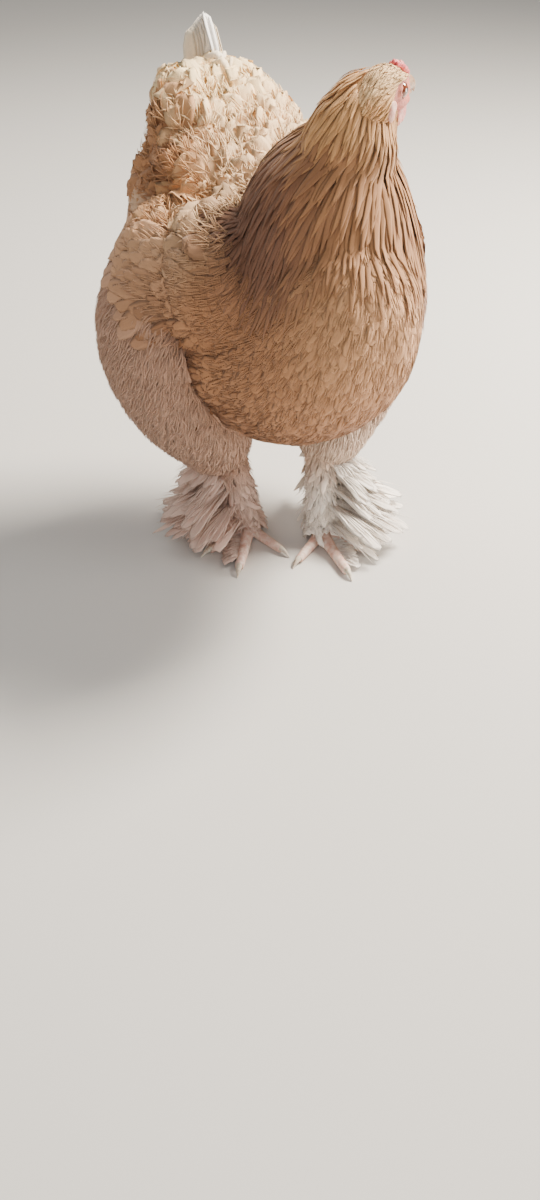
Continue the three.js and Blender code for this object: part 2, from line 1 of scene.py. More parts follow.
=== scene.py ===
# A life-size Brahma hen: skin, feather coats, head, boots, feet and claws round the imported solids.
# Places are side (the hen's left), forward and up. All lengths in the tables are millimetres.
import json
import math

import bpy
import numpy as np
from mathutils import Matrix, Vector
from mathutils.bvhtree import BVHTree

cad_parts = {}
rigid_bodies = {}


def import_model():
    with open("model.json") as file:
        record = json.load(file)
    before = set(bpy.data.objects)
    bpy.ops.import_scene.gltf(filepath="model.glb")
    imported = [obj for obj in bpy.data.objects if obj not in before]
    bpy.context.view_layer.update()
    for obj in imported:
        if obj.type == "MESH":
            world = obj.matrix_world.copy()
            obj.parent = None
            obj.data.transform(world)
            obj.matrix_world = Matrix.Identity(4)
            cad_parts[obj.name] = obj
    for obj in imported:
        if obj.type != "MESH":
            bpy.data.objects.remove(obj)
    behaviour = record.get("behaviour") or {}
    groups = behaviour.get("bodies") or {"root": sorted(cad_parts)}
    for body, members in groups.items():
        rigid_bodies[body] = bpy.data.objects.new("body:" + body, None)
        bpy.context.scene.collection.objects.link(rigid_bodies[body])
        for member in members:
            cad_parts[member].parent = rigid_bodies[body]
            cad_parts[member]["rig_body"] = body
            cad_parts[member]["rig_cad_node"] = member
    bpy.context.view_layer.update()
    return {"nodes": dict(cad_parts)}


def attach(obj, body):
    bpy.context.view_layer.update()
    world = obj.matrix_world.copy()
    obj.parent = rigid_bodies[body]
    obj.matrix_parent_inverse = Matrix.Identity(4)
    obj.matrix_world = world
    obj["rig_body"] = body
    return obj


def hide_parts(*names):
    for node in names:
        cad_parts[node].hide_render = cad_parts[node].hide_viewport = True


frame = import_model()

MM = 0.001
BODY = "root"
rng = np.random.default_rng(20)
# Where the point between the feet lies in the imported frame.
ORIGIN = Vector((0.01, -19.14, 0.0))
SIDES = {"left": 1, "right": -1}

# Torso stations from breast to rump: forward, side, underside, top, half width, narrowing of the top.
TORSO = [
    (184, -16, 300, 346, 22, 0),
    (170, -16, 254, 374, 50, 0),
    (142, -16, 211, 398, 76, 0.02),
    (100, -15, 177, 412, 94, 0.06),
    (50, -12, 153, 413, 108, 0.08),
    (0, -6, 148, 406, 120, 0.1),
    (-46, -1, 154, 414, 129, 0.12),
    (-90, 3, 172, 446, 132, 0.16),
    (-128, 8, 205, 472, 127, 0.18),
    (-159, 11, 248, 486, 106, 0.18),
    (-180, 12, 296, 476, 66, 0.14),
]
NECK_LINE = [(-4, 66, 330), (-2, 66, 395), (9, 76, 450), (24, 90, 492)]
NECK_RADII = [94, 76, 41, 25]
THIGH_RADII = [62, 76, 72, 44]
# Fullness of the plumage as balls: between breast and thighs, at the cushion's right, behind the head,
# and the first and last ball of the tail's root.
FLANK = [((76, 8, 332), (54, 74, 62)), ((86, -18, 296), (52, 54, 54)), ((82, 10, 262), (44, 56, 56))]
CUSHION_RIGHT = [((-44, -128, 434), 30), ((-54, -96, 398), 36), ((-30, -150, 452), 26)]
NAPE = [
    ((10, 90, 503), 18), ((1, 91, 494), 21), ((-8, 90, 482), 24), ((-8, 88, 466), 30),
    ((16, 94, 509), 15), ((9, 95, 476), 25), ((6, 92, 460), 33),
]
TAIL_ROOT = [(12.5, -138, 414, 26), (12.5, -176, 470, 10)]
TAIL_ROOT_BALLS = 6
# The edge to which the body's side feathers cover the thigh: up, and forward there.
SIDE_EDGE = [(150, 26), (180, 16), (213, 11), (276, 13), (305, -8), (341, -41), (361, -95), (380, -130)]
LEFT_EDGE_AHEAD = 20
BODY_COAT_DEPTH = 8.0
THIGH_COAT_DEPTH = 12.0
NECK_COAT_DEPTH = 3.0
HEAD_COAT_DEPTH = 1.6

HEAD_AT = (30, 96, 506)
HEAD_TURN = math.radians(108)
# Balls of the head: place, half sizes and segments. Skull, face, back of the head, throat, forehead.
SKULL = [
    ((0, -3, 1), (18 - HEAD_COAT_DEPTH, 27 - HEAD_COAT_DEPTH, 20 - HEAD_COAT_DEPTH), 28),
    ((0, 14, -3), (12, 18, 13.5), 24),
    ((0, -14, -8), (18 - HEAD_COAT_DEPTH, 24 - HEAD_COAT_DEPTH, 21 - HEAD_COAT_DEPTH), 28),
    ((0, 10, -17), (4.5, 12, 8.5), 20),
    ((0, 22, 3), (8.4, 9, 7.4), 20),
]
# Paired balls: brow, cheek and corner of the bill, then the wattles and the earlobes.
CHEEKS = [((11.2, 3, 9.6), (5.6, 13, 3.9)), ((12.6, 4, -9), (4.4, 13, 5.6)), ((9, 15, -9.5), (4.2, 10, 4.6))]
WATTLE = [((7, 17, -20), (2.3, 7.6, 8.6)), ((7.5, 13, -24), (2, 4.2, 6)), ((6.6, 20, -15), (2.2, 5, 5))]
EARLOBE = [((16.8, -12.5, -12.5), (2.8, 5.0, 8.6)), ((16.6, -10, -9), (2.6, 4.6, 5))]
EYE_PLACE = (12.2, 5, 1)
EYE_RADIUS = 7
EYE_AHEAD = math.radians(-8)
PUPIL_ANGLE = math.radians(21)
# Lid rings: radius, thickness, how far outside the eye's centre, height as a share of the width.
LIDS = [(5.7, 1.1, 4.3, 0.64), (7.4, 1.0, 2.9, 0.84)]
BEAK_ROOT = 24
BEAK_TIP = BEAK_ROOT + 27
# Bill halves: forward and up of their line, radii along it, and how they are squashed.
BEAK = {
    "upper": {
        "line": [(15, 1), (24, 2), (34, 1.2), (42, -0.9), (BEAK_TIP - 4, -4.2), (BEAK_TIP, -9)],
        "radii": [8.6, 8.2, 6.8, 5.1, 3.2, 0.7],
        "squash": (0.86, 1, 1),
    },
    "lower": {
        "line": [(15, -7.6), (26, -8), (34, -8.8), (40, -9.4), (BEAK_TIP - 7, -9.8)],
        "radii": [6.2, 5.2, 4.0, 2.8, 0.8],
        "squash": (0.92, 1, 0.72),
    },
}

LEGS = {
    "left": {"foot": (24, 38), "hock": (40, 8), "turn": math.radians(-11)},
    "right": {"foot": (-43, -18), "hock": (-58, -44), "turn": math.radians(40)},
}
HOCK_HEIGHT = 116
SHANK_RADIUS = 9.5
TOE_FLAT = 1.2
SCUTE_PITCH = 4.6
CLAW_LENGTH = 14
# Toes: angle from straight ahead, length to the claw, radius.
TOES = {"inner": (-51, 56, 6.4), "middle": (0, 76, 7), "outer": (40, 62, 6.4), "hind": (178, 32, 5.8)}

# Wing tiers: roots and tips of the lowest and highest feather, how far their tips stand off the torso.
WING_TIERS = [
    {
        "roots": ((-44, 306), (-54, 336)), "tips": ((-150, 322), (-176, 348)),
        "off": 3, "many": 7, "width": 15,
    },
    {
        "roots": ((-34, 312), (-44, 370)), "tips": ((-132, 318), (-180, 386)),
        "off": 5, "many": 14, "width": 15,
    },
]
# Boot tiers down the shank: root height, tip height, reach, first and last angle, feathers, width.
BOOT_TIERS = [
    (104, 66, 62, 40, 170, 8, 22),
    (92, 48, 80, 46, 160, 9, 22),
    (72, 30, 102, 38, 154, 10, 23),
    (50, 15, 110, 26, 150, 11, 23),
    (28, 8, 88, 20, 146, 9, 21),
]
# Feathers along the toes: toe, first and last share of the toe, feathers, reach.
TOE_ROWS = [("outer", 0.2, 0.86, 8, 42), ("middle", 0.2, 0.72, 7, 32)]
BOOT_FINGERS = 3
BOOT_STRANDS = 9
TAIL_MIDDLE = 12
TAIL_PEAK = (14, -186, 527)


# Places and small mathematics


def at(side, forward, up):
    """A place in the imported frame, in metres."""
    return (Vector((side, -forward, up)) + ORIGIN) * MM


def heading(side, forward, up):
    """A direction given as side, forward and up."""
    return Vector((side, -forward, up))


def own_millimetres(points):
    """Side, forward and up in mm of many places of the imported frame."""
    p = np.asarray(points) / MM - np.array(ORIGIN)
    return p[:, 0], -p[:, 1], p[:, 2]


def mix(a, b, t):
    return a + (b - a) * t


def ramp(low, high, value):
    """0 below low, 1 above high, smooth between; low may be the greater."""
    t = np.clip((value - low) / (high - low), 0, 1)
    return t * t * (3 - 2 * t)


def blend(a, b, share):
    """Rows of a turned to rows of b by each row's own share."""
    share = np.asarray(share)[:, None]
    return np.asarray(a) * (1 - share) + np.asarray(b) * share


def rows_of(value, many):
    return np.tile(value, (many, 1))


def unit(vectors):
    return vectors / np.maximum(np.linalg.norm(vectors, axis=-1, keepdims=True), 1e-12)


def along_surface(lies, normals):
    """Directions laid flat on the surface that has these normals."""
    return unit(lies - normals * (lies * normals).sum(1, keepdims=True))


def along(rows, share):
    """A smooth curve through rows of numbers, read at a share of it."""
    place = share * (len(rows) - 1)
    i = min(int(place), len(rows) - 2)
    t = place - i
    a, b, c, d = (np.array(rows[min(max(n, 0), len(rows) - 1)], float) for n in (i - 1, i, i + 1, i + 2))
    bend = 2 * a - 5 * b + 4 * c - d
    rise = -a + 3 * b - 3 * c + d
    return 0.5 * (2 * b + (c - a) * t + bend * t * t + rise * t**3)


def samples(rows, many):
    return np.array([along(rows, n / (many - 1)) for n in range(many)])


def sizes(values, many):
    """A smooth run of sizes through a few given ones."""
    return samples([(value,) for value in values], many)[:, 0]


HEAD_MATRIX = Matrix.Translation(at(*HEAD_AT)) @ Matrix.Rotation(HEAD_TURN, 4, "Z")


def on_head(side, forward, up):
    """A place given about the head's centre."""
    return HEAD_MATRIX @ (Vector((side, -forward, up)) * MM)


def head_millimetres(points):
    """Side, forward and up in mm about the head's centre."""
    turn = np.array(HEAD_MATRIX.inverted())
    p = (np.asarray(points) @ turn[:3, :3].T + turn[:3, 3]) / MM
    return p[:, 0], -p[:, 1], p[:, 2]


# Colours and materials


def linear(hex_colour):
    """An sRGB hex colour as linear red, green and blue."""
    channels = [int(hex_colour[i : i + 2], 16) / 255 for i in (1, 3, 5)]
    return np.array([c / 12.92 if c <= 0.04045 else ((c + 0.055) / 1.055) ** 2.4 for c in channels])


def rgba(hex_colour):
    return (*linear(hex_colour), 1.0)


CREAM = linear("#FDE0AE")
CREAM_MID = linear("#EDCB9E")
CREAM_DEEP = linear("#CF9C6A")
SADDLE = linear("#E0BC92")
BUFF = linear("#AF7D58")
BUFF_SHADED = linear("#855A3C")
RIM_SHADE = linear("#724A30")
BUFF_LIGHT = linear("#D0A075")
HACKLE = linear("#A2714D")
HACKLE_GOLD = linear("#BE8E62")
HACKLE_SHADED = linear("#745344")
HEAD_GOLD = linear("#E2AC72")
CROWN_SUNLIT_GOLD = linear("#FFD39C")
FACE_PINK = linear("#CA7C6B")
FACE_ROSE = linear("#B65C50")
FLUFF = linear("#C49B83")
FLUFF_PALE = linear("#DFC3AC")
TAIL_WHITE = linear("#FAF6F0")
TAIL_SHADOW_GREY = linear("#8A8581")
# The left boot and shank top are paler, as painted light on the sunlit side; the right boot is buff-pink, as
# painted shade.
BOOT_LIT_AND_SHADED = {"left": linear("#FFF5EA"), "right": linear("#E2C3B3")}
SHANK_TOP_LIT_AND_SHADED = {"left": FLUFF_PALE, "right": FLUFF}
# Sizes of the soft patterns in mm: skin patches are 16 to 100 mm, blotches over the feathers 7 to 100 mm,
# streaks of horn 13 to 50 mm and threads of the iris 9 to 10 mm.
SKIN_PATCH = 100 / 16
FEATHER_BLOTCH = 100 / 7
HORN_STREAK = 50 / 13
IRIS_THREAD = 10 / 9
# Threads of a vane to each mm across it and along it, and how far its tone moves them.
VANE_THREADS = (1.1, 0.07, 90.0)


def node(tree, kind, inputs=None, **settings):
    """Adds a node with its settings. An input takes a value, an output, or a node for its first output."""
    made = tree.nodes.new(kind)
    for key, value in settings.items():
        setattr(made, key, value)
    for key, value in (inputs or {}).items():
        if isinstance(value, bpy.types.Node):
            value = value.outputs[0]
        if isinstance(value, bpy.types.NodeSocket):
            tree.links.new(value, made.inputs[key])
        else:
            made.inputs[key].default_value = value
    return made


def bare_material(name):
    """A new material, its empty node tree, and the place on the object that patterns read."""
    material = bpy.data.materials.new(name)
    material.use_nodes = True
    tree = material.node_tree
    tree.nodes.clear()
    return material, tree, node(tree, "ShaderNodeTexCoord").outputs["Object"]


def close_surface(tree, inputs):
    """Ends a material in a Principled surface with these inputs."""
    shader = node(tree, "ShaderNodeBsdfPrincipled", inputs)
    node(tree, "ShaderNodeOutputMaterial", {"Surface": shader})


def mottle(tree, place, size, detail, tones, low, high, roughness=0.5):
    """A soft pattern of a size in mm, and its tones from dark to light between its low and high values."""
    noise = {"Vector": place, "Scale": 1000 / size, "Detail": detail, "Roughness": roughness}
    pattern = node(tree, "ShaderNodeTexNoise", noise)
    colours = node(tree, "ShaderNodeValToRGB", {"Fac": pattern})
    stops = colours.color_ramp.elements
    stops[0].position = low
    stops[1].position = high
    if len(tones) == 3:
        stops.new((low + high) / 2)
    for stop, tone in zip(stops, tones):
        stop.color = rgba(tone)
    return pattern, colours


def feather_material(name, roughness, barb_pitch, barb_depth, sheen, speckle, streaks):
    """Keratin feather: matte, with fine slanting barbs either side of a shaft and a faint sheen.
    The barbs are drawn about three times as coarse as real ones, so that they show."""
    material, tree, place = bare_material(name)
    tint = node(tree, "ShaderNodeAttribute", attribute_name="tint")
    vane = node(tree, "ShaderNodeAttribute", attribute_name="vane").outputs["Vector"]
    across, reach, tone = node(tree, "ShaderNodeSeparateXYZ", {0: vane}).outputs
    noise = {"Vector": place, "Scale": 1000 / FEATHER_BLOTCH, "Detail": 3.0, "Roughness": 0.6}
    blotch = node(tree, "ShaderNodeTexNoise", noise)
    # Barbs slant away from the shaft and waver a little.
    off_shaft = node(tree, "ShaderNodeMath", {0: across}, operation="ABSOLUTE")
    slant = node(tree, "ShaderNodeMath", {0: off_shaft, 1: -1.1, 2: reach}, operation="MULTIPLY_ADD")
    line = node(tree, "ShaderNodeMath", {0: blotch, 1: 5.0, 2: slant}, operation="MULTIPLY_ADD")
    turns = node(tree, "ShaderNodeMath", {0: line, 1: 2 * math.pi / barb_pitch}, operation="MULTIPLY")
    barbs = node(tree, "ShaderNodeMath", {0: turns}, operation="SINE")
    # Long threads run down each vane, and its tone sets it apart from its neighbours.
    threads = node(tree, "ShaderNodeVectorMath", {0: vane, 1: VANE_THREADS}, operation="MULTIPLY")
    thread = node(tree, "ShaderNodeTexNoise", {"Vector": threads, "Scale": 1.0, "Detail": 2.0})
    light = node(tree, "ShaderNodeMath", {0: barbs, 1: speckle, 2: tone}, operation="MULTIPLY_ADD")
    light = node(tree, "ShaderNodeMath", {0: blotch, 1: 0.3, 2: light}, operation="MULTIPLY_ADD")
    light = node(tree, "ShaderNodeMath", {0: thread, 1: streaks, 2: light}, operation="MULTIPLY_ADD")
    light = node(tree, "ShaderNodeMath", {0: light, 1: 0.85 - streaks / 2}, operation="ADD")
    relief = {"Strength": 0.5, "Distance": barb_depth * MM, "Height": barbs}
    close_surface(tree, {
        "Base Color": node(tree, "ShaderNodeVectorMath", {0: tint, "Scale": light}, operation="SCALE"),
        "Normal": node(tree, "ShaderNodeBump", relief),
        "Roughness": roughness,
        "Sheen Weight": sheen,
        "Sheen Roughness": 0.5,
        "Specular IOR Level": 0.2,
    })
    return material


def skin_material(name, tones, roughness, grain, depth, cells=False):
    """Bare bird skin in soft patches, with the small bumps of papillae or scales. Its tones are three
    colours, or shares of the painted colour where there are none."""
    material, tree, place = bare_material(name)
    if tones:
        _, colour = mottle(tree, place, SKIN_PATCH, 4.0, tones, 0.32, 0.68)
    else:
        tint = node(tree, "ShaderNodeAttribute", attribute_name="tint")
        noise = {"Vector": place, "Scale": 1000 / SKIN_PATCH, "Detail": 4.0}
        patches = node(tree, "ShaderNodeTexNoise", noise)
        shade = node(tree, "ShaderNodeMath", {0: patches, 1: 0.5, 2: 0.75}, operation="MULTIPLY_ADD")
        colour = node(tree, "ShaderNodeVectorMath", {0: tint, "Scale": shade}, operation="SCALE")
    feature = "DISTANCE_TO_EDGE" if cells else "F1"
    bumps = node(tree, "ShaderNodeTexVoronoi", {"Vector": place, "Scale": 1000 / grain}, feature=feature)
    relief = {"Strength": 0.6, "Distance": depth * MM, "Height": bumps}
    close_surface(tree, {
        "Base Color": colour,
        "Normal": node(tree, "ShaderNodeBump", relief, invert=not cells),
        "Roughness": roughness,
        "Subsurface Weight": 0.12,
        "Subsurface Scale": 0.002,
        "Specular IOR Level": 0.4,
    })
    return material


def horn_material(name, tones, roughness):
    """Keratin horn of beak or claw: satin, streaked along its growth, with a faint waxy depth."""
    material, tree, place = bare_material(name)
    streaks, colours = mottle(tree, place, HORN_STREAK, 5.0, tones, 0.35, 0.65, roughness=0.65)
    close_surface(tree, {
        "Base Color": colours,
        "Normal": node(tree, "ShaderNodeBump", {"Strength": 0.3, "Distance": 0.2 * MM, "Height": streaks}),
        "Roughness": roughness,
        "Subsurface Weight": 0.1,
        "Subsurface Scale": 0.001,
        "Coat Weight": 0.15,
    })
    return material


def eye_material(name, tones, roughness):
    """Wet cornea over iris or pupil: glossy, with fine threads of two tones."""
    material, tree, place = bare_material(name)
    _, colours = mottle(tree, place, IRIS_THREAD, 3.0, tones, 0, 1)
    close_surface(
        tree, {"Base Color": colours, "Roughness": roughness, "Coat Weight": 1.0, "Coat Roughness": 0.03}
    )
    return material


# Feathers, from the flat body coat to the stiff quills: roughness, pitch and depth of the barbs in mm,
# sheen, and how much barbs and threads vary the tone.
SMOOTH_FEATHER = feather_material("contour_feather", 0.7, 2.4, 0.12, 0.08, 0.03, 0.2)
SILKY_FEATHER = feather_material("hackle_feather", 0.55, 2.2, 0.15, 0.08, 0.04, 0.35)
DOWNY_FEATHER = feather_material("down_feather", 0.9, 3.0, 0.05, 0.12, 0.02, 0.12)
STIFF_FEATHER = feather_material("quill_feather", 0.6, 2.4, 0.2, 0.08, 0.04, 0.25)
# Skins: tones, roughness, and pitch and depth of the bumps in mm. Papillae are 1.4 to 1.6 mm apart on
# comb and face, scales 2.4 mm on the toes.
UNDER_SKIN = skin_material("feathered_skin", None, 0.8, 3.0, 0.3)
FACE_SKIN = skin_material("bare_face_skin", None, 0.5, 1.5, 0.35)
COMB_SKIN = skin_material("comb_skin", ("#C94F57", "#DB6A6C", "#E88D86"), 0.45, 1.4, 0.4)
WATTLE_SKIN = skin_material("wattle_skin", ("#C97570", "#D98E86", "#E6AEA4"), 0.45, 1.4, 0.35)
LOBE_SKIN = skin_material("earlobe_skin", ("#D08B7C", "#E2AC99", "#EBC3B0"), 0.5, 1.6, 0.3)
TOE_SKIN = skin_material("scaly_toe_skin", ("#D2A692", "#E3C2B2", "#EFDACD"), 0.5, 2.4, 0.35, cells=True)
BEAK_HORN = horn_material("beak_horn", ("#84644E", "#C29E80"), 0.36)
CLAW_HORN = horn_material("claw_horn", ("#B7A692", "#E3D8C8"), 0.4)
IRIS = eye_material("iris_wet", ("#55220F", "#8A4524"), 0.12)
PUPIL = eye_material("pupil_wet", ("#0C0807", "#160F0C"), 0.08)


# Modelling with mesh operators


def select_only(*objects):
    bpy.ops.object.select_all(action="DESELECT")
    for o in objects:
        o.select_set(True)
    bpy.context.view_layer.objects.active = objects[0]


def settle(o):
    """Puts the object's place, turn and size into its mesh."""
    select_only(o)
    bpy.ops.object.transform_apply(location=True, rotation=True, scale=True)
    return o


def edit_all(o, operator, **settings):
    """Runs a mesh operator on the whole of an object."""
    select_only(o)
    bpy.ops.object.mode_set(mode="EDIT")
    bpy.ops.mesh.select_all(action="SELECT")
    operator(**settings)
    bpy.ops.object.mode_set(mode="OBJECT")
    return o


def ball(centre, half, turn=0.0, segments=20):
    """An ellipsoid of half sizes in mm, to be fused with others."""
    bpy.ops.object.select_all(action="DESELECT")
    bpy.ops.mesh.primitive_uv_sphere_add(
        segments=segments, ring_count=segments * 2 // 3, radius=MM, location=centre, rotation=(0, 0, turn)
    )
    made = bpy.context.object
    made.scale = half
    return settle(made)


def head_balls(forms, sign=1):
    """Ellipsoids about the head's centre from rows of place, half sizes and perhaps segments."""
    return [
        ball(on_head(sign * side, forward, up), half, HEAD_TURN, *segments)
        for (side, forward, up), half, *segments in forms
    ]


def tube(name, places, radii, sides):
    """A round bar along places whose thickness follows radii in mm."""
    bpy.ops.object.select_all(action="DESELECT")
    bpy.ops.curve.primitive_nurbs_path_add()
    made = bpy.context.object
    made.name = name
    made.location = (0, 0, 0)
    curve = made.data
    curve.splines.clear()
    spline = curve.splines.new("POLY")
    spline.points.add(len(places) - 1)
    for point, place, radius in zip(spline.points, places, radii):
        point.co = (*place, 1)
        point.radius = radius
    curve.dimensions = "3D"
    curve.twist_mode = "Z_UP"
    curve.bevel_depth = MM
    curve.bevel_resolution = sides // 2 - 2
    curve.use_fill_caps = True
    select_only(made)
    bpy.ops.object.convert(target="MESH")
    return bpy.context.object


def apply_all(o):
    select_only(o)
    for modifier in list(o.modifiers):
        bpy.ops.object.modifier_apply(modifier=modifier.name)
    return o


def fuse(name, pieces, voxel, relax):
    """Joins pieces into one closed skin of voxels in mm, softened relax times."""
    select_only(*pieces)
    if len(pieces) > 1:
        bpy.ops.object.join()
    made = bpy.context.object
    made.name = made.data.name = name
    remesh = made.modifiers.new("Remesh", "REMESH")
    remesh.mode = "VOXEL"
    remesh.voxel_size = voxel * MM
    smooth = made.modifiers.new("Smooth", "SMOOTH")
    smooth.factor = 0.5
    smooth.iterations = relax
    apply_all(made)
    bpy.ops.object.shade_smooth()
    return made


def keep(o, material, slot, *nodes):
    """Gives a finished piece its material and body, and hides the imported nodes that it stands for. slot is
    not used.
    """
    o.data.materials.clear()
    o.data.materials.append(material)
    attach(o, BODY)
    if nodes:
        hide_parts(*nodes)
    return o


def surface_tree(o):
    return BVHTree.FromObject(o, bpy.context.evaluated_depsgraph_get())


# Feathers


# Stations of a feather: share of its length and share of its half width; the tip follows.
OVATE = ((0, 0.3), (0.22, 0.72), (0.45, 0.97), (0.68, 1.0), (0.86, 0.78), (0.96, 0.42))
ROUND = ((0, 0.3), (0.25, 0.8), (0.5, 1.0), (0.74, 1.0), (0.9, 0.8), (0.98, 0.45))
LANCE = ((0, 0.45), (0.2, 0.85), (0.45, 1.0), (0.7, 0.72), (0.88, 0.36))
FINE = ((0, 0.8), (0.55, 1.0))
QUILL = ((0, 0.25), (0.18, 0.62), (0.4, 0.9), (0.62, 1.0), (0.8, 0.95), (0.93, 0.62))
# The side of the square, on the unwrapped skin, that one feather's bake takes.
BAKE_PATCH = 0.003
FLOOR_GAP = 0.4
# The make of a single vane: points across it, how uneven its edges are, its thickness at the shaft and
# the droop of its edges, how far the edges sweep back, and the depth of a frilled tip.
PLAIN_VANE = {"columns": 5, "ragged": 0.0, "thick": 0.5, "cup": 0.12, "sweep": 0.35, "frill": 0.0}
# The lie of a coat: height of the roots over the skin, how late a feather rises, the spread of the tips'
# height, of direction and of roll in degrees, how far tips hook in, spread of tone, colour of the roots
# as a share of the tips' and the lightness of the whole.
PLAIN_COAT = {
    "root_lift": -1.0, "curl": 0.8, "loose": 0.15, "stray": 6, "roll": 5, "hook": 0.0,
    "tone": 0.05, "root_shade": 0.72, "light": 1.0,
}
WISPS = {"profile": FINE, "columns": 3, "thick": 0.3, "cup": 0.0, "ragged": 0.1, "sweep": 0.0}


def stations_with_tip(profile):
    return [share for share, _ in profile] + [1.0]


def vane_faces(stations, across):
    """Faces of one closed vane: smooth upper side, then its flat underside, tip and root."""
    spot = lambda k, j: k * across + j
    tip, last = stations * across, across - 1
    upper, under = [], []
    for k in range(stations - 1):
        for j in range(last):
            upper.append((spot(k, j), spot(k, j + 1), spot(k + 1, j + 1), spot(k + 1, j)))
        under.append((spot(k, 0), spot(k + 1, 0), spot(k + 1, last), spot(k, last)))
    for j in range(last):
        upper.append((spot(stations - 1, j), spot(stations - 1, j + 1), tip))
    under.append((spot(stations - 1, last), spot(stations - 1, 0), tip))
    under.append((0, *range(last, 0, -1)))
    return upper, under


def vane_points(spine, over, half, shares, widths, style):
    """Points of every vane but its tip, and for each how far aside and along the feather it is."""
    many, stations = len(spine), len(shares)
    ahead = unit(np.gradient(spine, axis=1))
    across = unit(np.cross(ahead, over))
    face = np.cross(across, ahead)[:, :stations]
    ahead, across = ahead[:, :stations], across[:, :stations]
    wide = half[:, None] * widths[None, :]
    left = 1 + style["ragged"] * rng.uniform(-1, 1, (many, stations))
    right = 1 + style["ragged"] * rng.uniform(-1, 1, (many, stations))
    columns = np.linspace(-1, 1, style["columns"])
    points = np.empty((many, stations, len(columns), 3))
    aside = np.empty((many, stations, len(columns)))
    for j, u in enumerate(columns):
        edge = wide * (left if u < 0 else right)
        rise = style["thick"] * (1 - u * u) * (1 - 0.6 * shares) - style["cup"] * edge * u * u
        back = style["sweep"] * edge * u * u * shares
        back = back + style["frill"] * rng.uniform(-1, 1, edge.shape) * shares**3
        aside[:, :, j] = u * edge
        points[:, :, j] = spine[:, :stations] + MM * (
            across * aside[:, :, j, None] + face * rise[..., None] + ahead * back[..., None]
        )
    return points, aside, columns


def closed_mesh(name, vertices, faces, smooth):
    """One mesh of many alike closed shapes: vertices of each, and the faces that all of them have."""
    many, per = vertices.shape[:2]
    loops = np.array([i for face in faces for i in face])
    totals = np.tile([len(face) for face in faces], many)
    corner = (loops[None, :] + (np.arange(many) * per)[:, None]).ravel()
    mesh = bpy.data.meshes.new(name)
    mesh.vertices.add(many * per)
    mesh.vertices.foreach_set("co", vertices.astype(np.float32).ravel())
    mesh.loops.add(len(corner))
    mesh.loops.foreach_set("vertex_index", corner.astype(np.int32))
    mesh.polygons.add(len(totals))
    mesh.polygons.foreach_set("loop_start", np.concatenate([[0], np.cumsum(totals)[:-1]]).astype(np.int32))
    mesh.polygons.foreach_set("use_smooth", np.tile(smooth, many))
    mesh.update(calc_edges=True)
    return mesh, corner


def give_values(mesh, name, kind, key, values):
    """Stores values for each vertex as an attribute that materials read."""
    attribute = mesh.attributes.new(name, kind, "POINT")
    attribute.data.foreach_set(key, values.astype(np.float32).ravel())


def give_colour(mesh, tint):
    tint = np.concatenate([tint, np.ones((len(tint), 1))], axis=1)
    give_values(mesh, "tint", "FLOAT_COLOR", "color", tint)


def feather_mesh(name, spine, over, half, profile, root_tint, tip_tint, tone, spot, style):
    """One mesh of many closed vanes. spine is feathers x (stations + tip) x 3 in metres, over the side
    they face, half their half width in mm, spot the place of each root on the unwrapped skin."""
    style = {**PLAIN_VANE, **style}
    many, stations = len(spine), len(profile)
    shares = np.array([share for share, _ in profile])
    widths = np.array([width for _, width in profile])
    length = np.linalg.norm(np.diff(spine, axis=1), axis=2).sum(1) / MM
    points, aside, columns = vane_points(spine, over, half, shares, widths, style)
    per = stations * len(columns) + 1
    vertices = np.concatenate([points.reshape(many, per - 1, 3), spine[:, -1:]], axis=1)
    vertices[..., 2] = np.maximum(vertices[..., 2], FLOOR_GAP * MM)
    rise = np.append(np.repeat(shares, len(columns)), 1.0)
    vane = np.empty((many, per, 3))
    vane[..., 0] = np.concatenate([aside.reshape(many, per - 1), np.zeros((many, 1))], axis=1)
    vane[..., 1] = rise[None, :] * length[:, None]
    vane[..., 2] = tone[:, None]
    share = ramp(0.15, 0.75, rise)[None, :, None]
    tint = root_tint[:, None] * (1 - share) + tip_tint[:, None] * share

    upper, under = vane_faces(stations, len(columns))
    mesh, corner = closed_mesh(name, vertices, upper + under, [True] * len(upper) + [False] * len(under))
    give_colour(mesh, tint.reshape(-1, 3))
    give_values(mesh, "vane", "FLOAT_VECTOR", "vector", vane)
    flat = np.stack([np.append(np.tile(columns, stations), 0.0), rise], axis=1) * (BAKE_PATCH / 2, BAKE_PATCH)
    where = (spot[:, None] + flat[None]).reshape(-1, 2)
    mesh.uv_layers.new(name="OFBake").data.foreach_set("uv", where[corner].astype(np.float32).ravel())
    made = bpy.data.objects.new(name, mesh)
    bpy.context.scene.collection.objects.link(made)
    return made


def skin_points(o, spacing, crowd):
    """Random places spread evenly over a skin, crowd to each square of the spacing in mm, with normals."""
    mesh = o.data
    mesh.calc_loop_triangles()
    corners = np.empty(len(mesh.loop_triangles) * 3, np.int32)
    mesh.loop_triangles.foreach_get("vertices", corners)
    co = np.empty(len(mesh.vertices) * 3, np.float32)
    mesh.vertices.foreach_get("co", co)
    a, b, c = co.reshape(-1, 3)[corners.reshape(-1, 3)].transpose(1, 0, 2).astype(float)
    cross = np.cross(b - a, c - a)
    area = np.linalg.norm(cross, axis=1) / 2
    many = int(crowd * area.sum() / (spacing * MM) ** 2)
    chosen = rng.choice(len(area), many, p=area / area.sum())
    u, v = rng.random((2, many))
    fold = u + v > 1
    u[fold], v[fold] = 1 - u[fold], 1 - v[fold]
    places = a[chosen] + (b - a)[chosen] * u[:, None] + (c - a)[chosen] * v[:, None]
    return places, unit(cross[chosen])


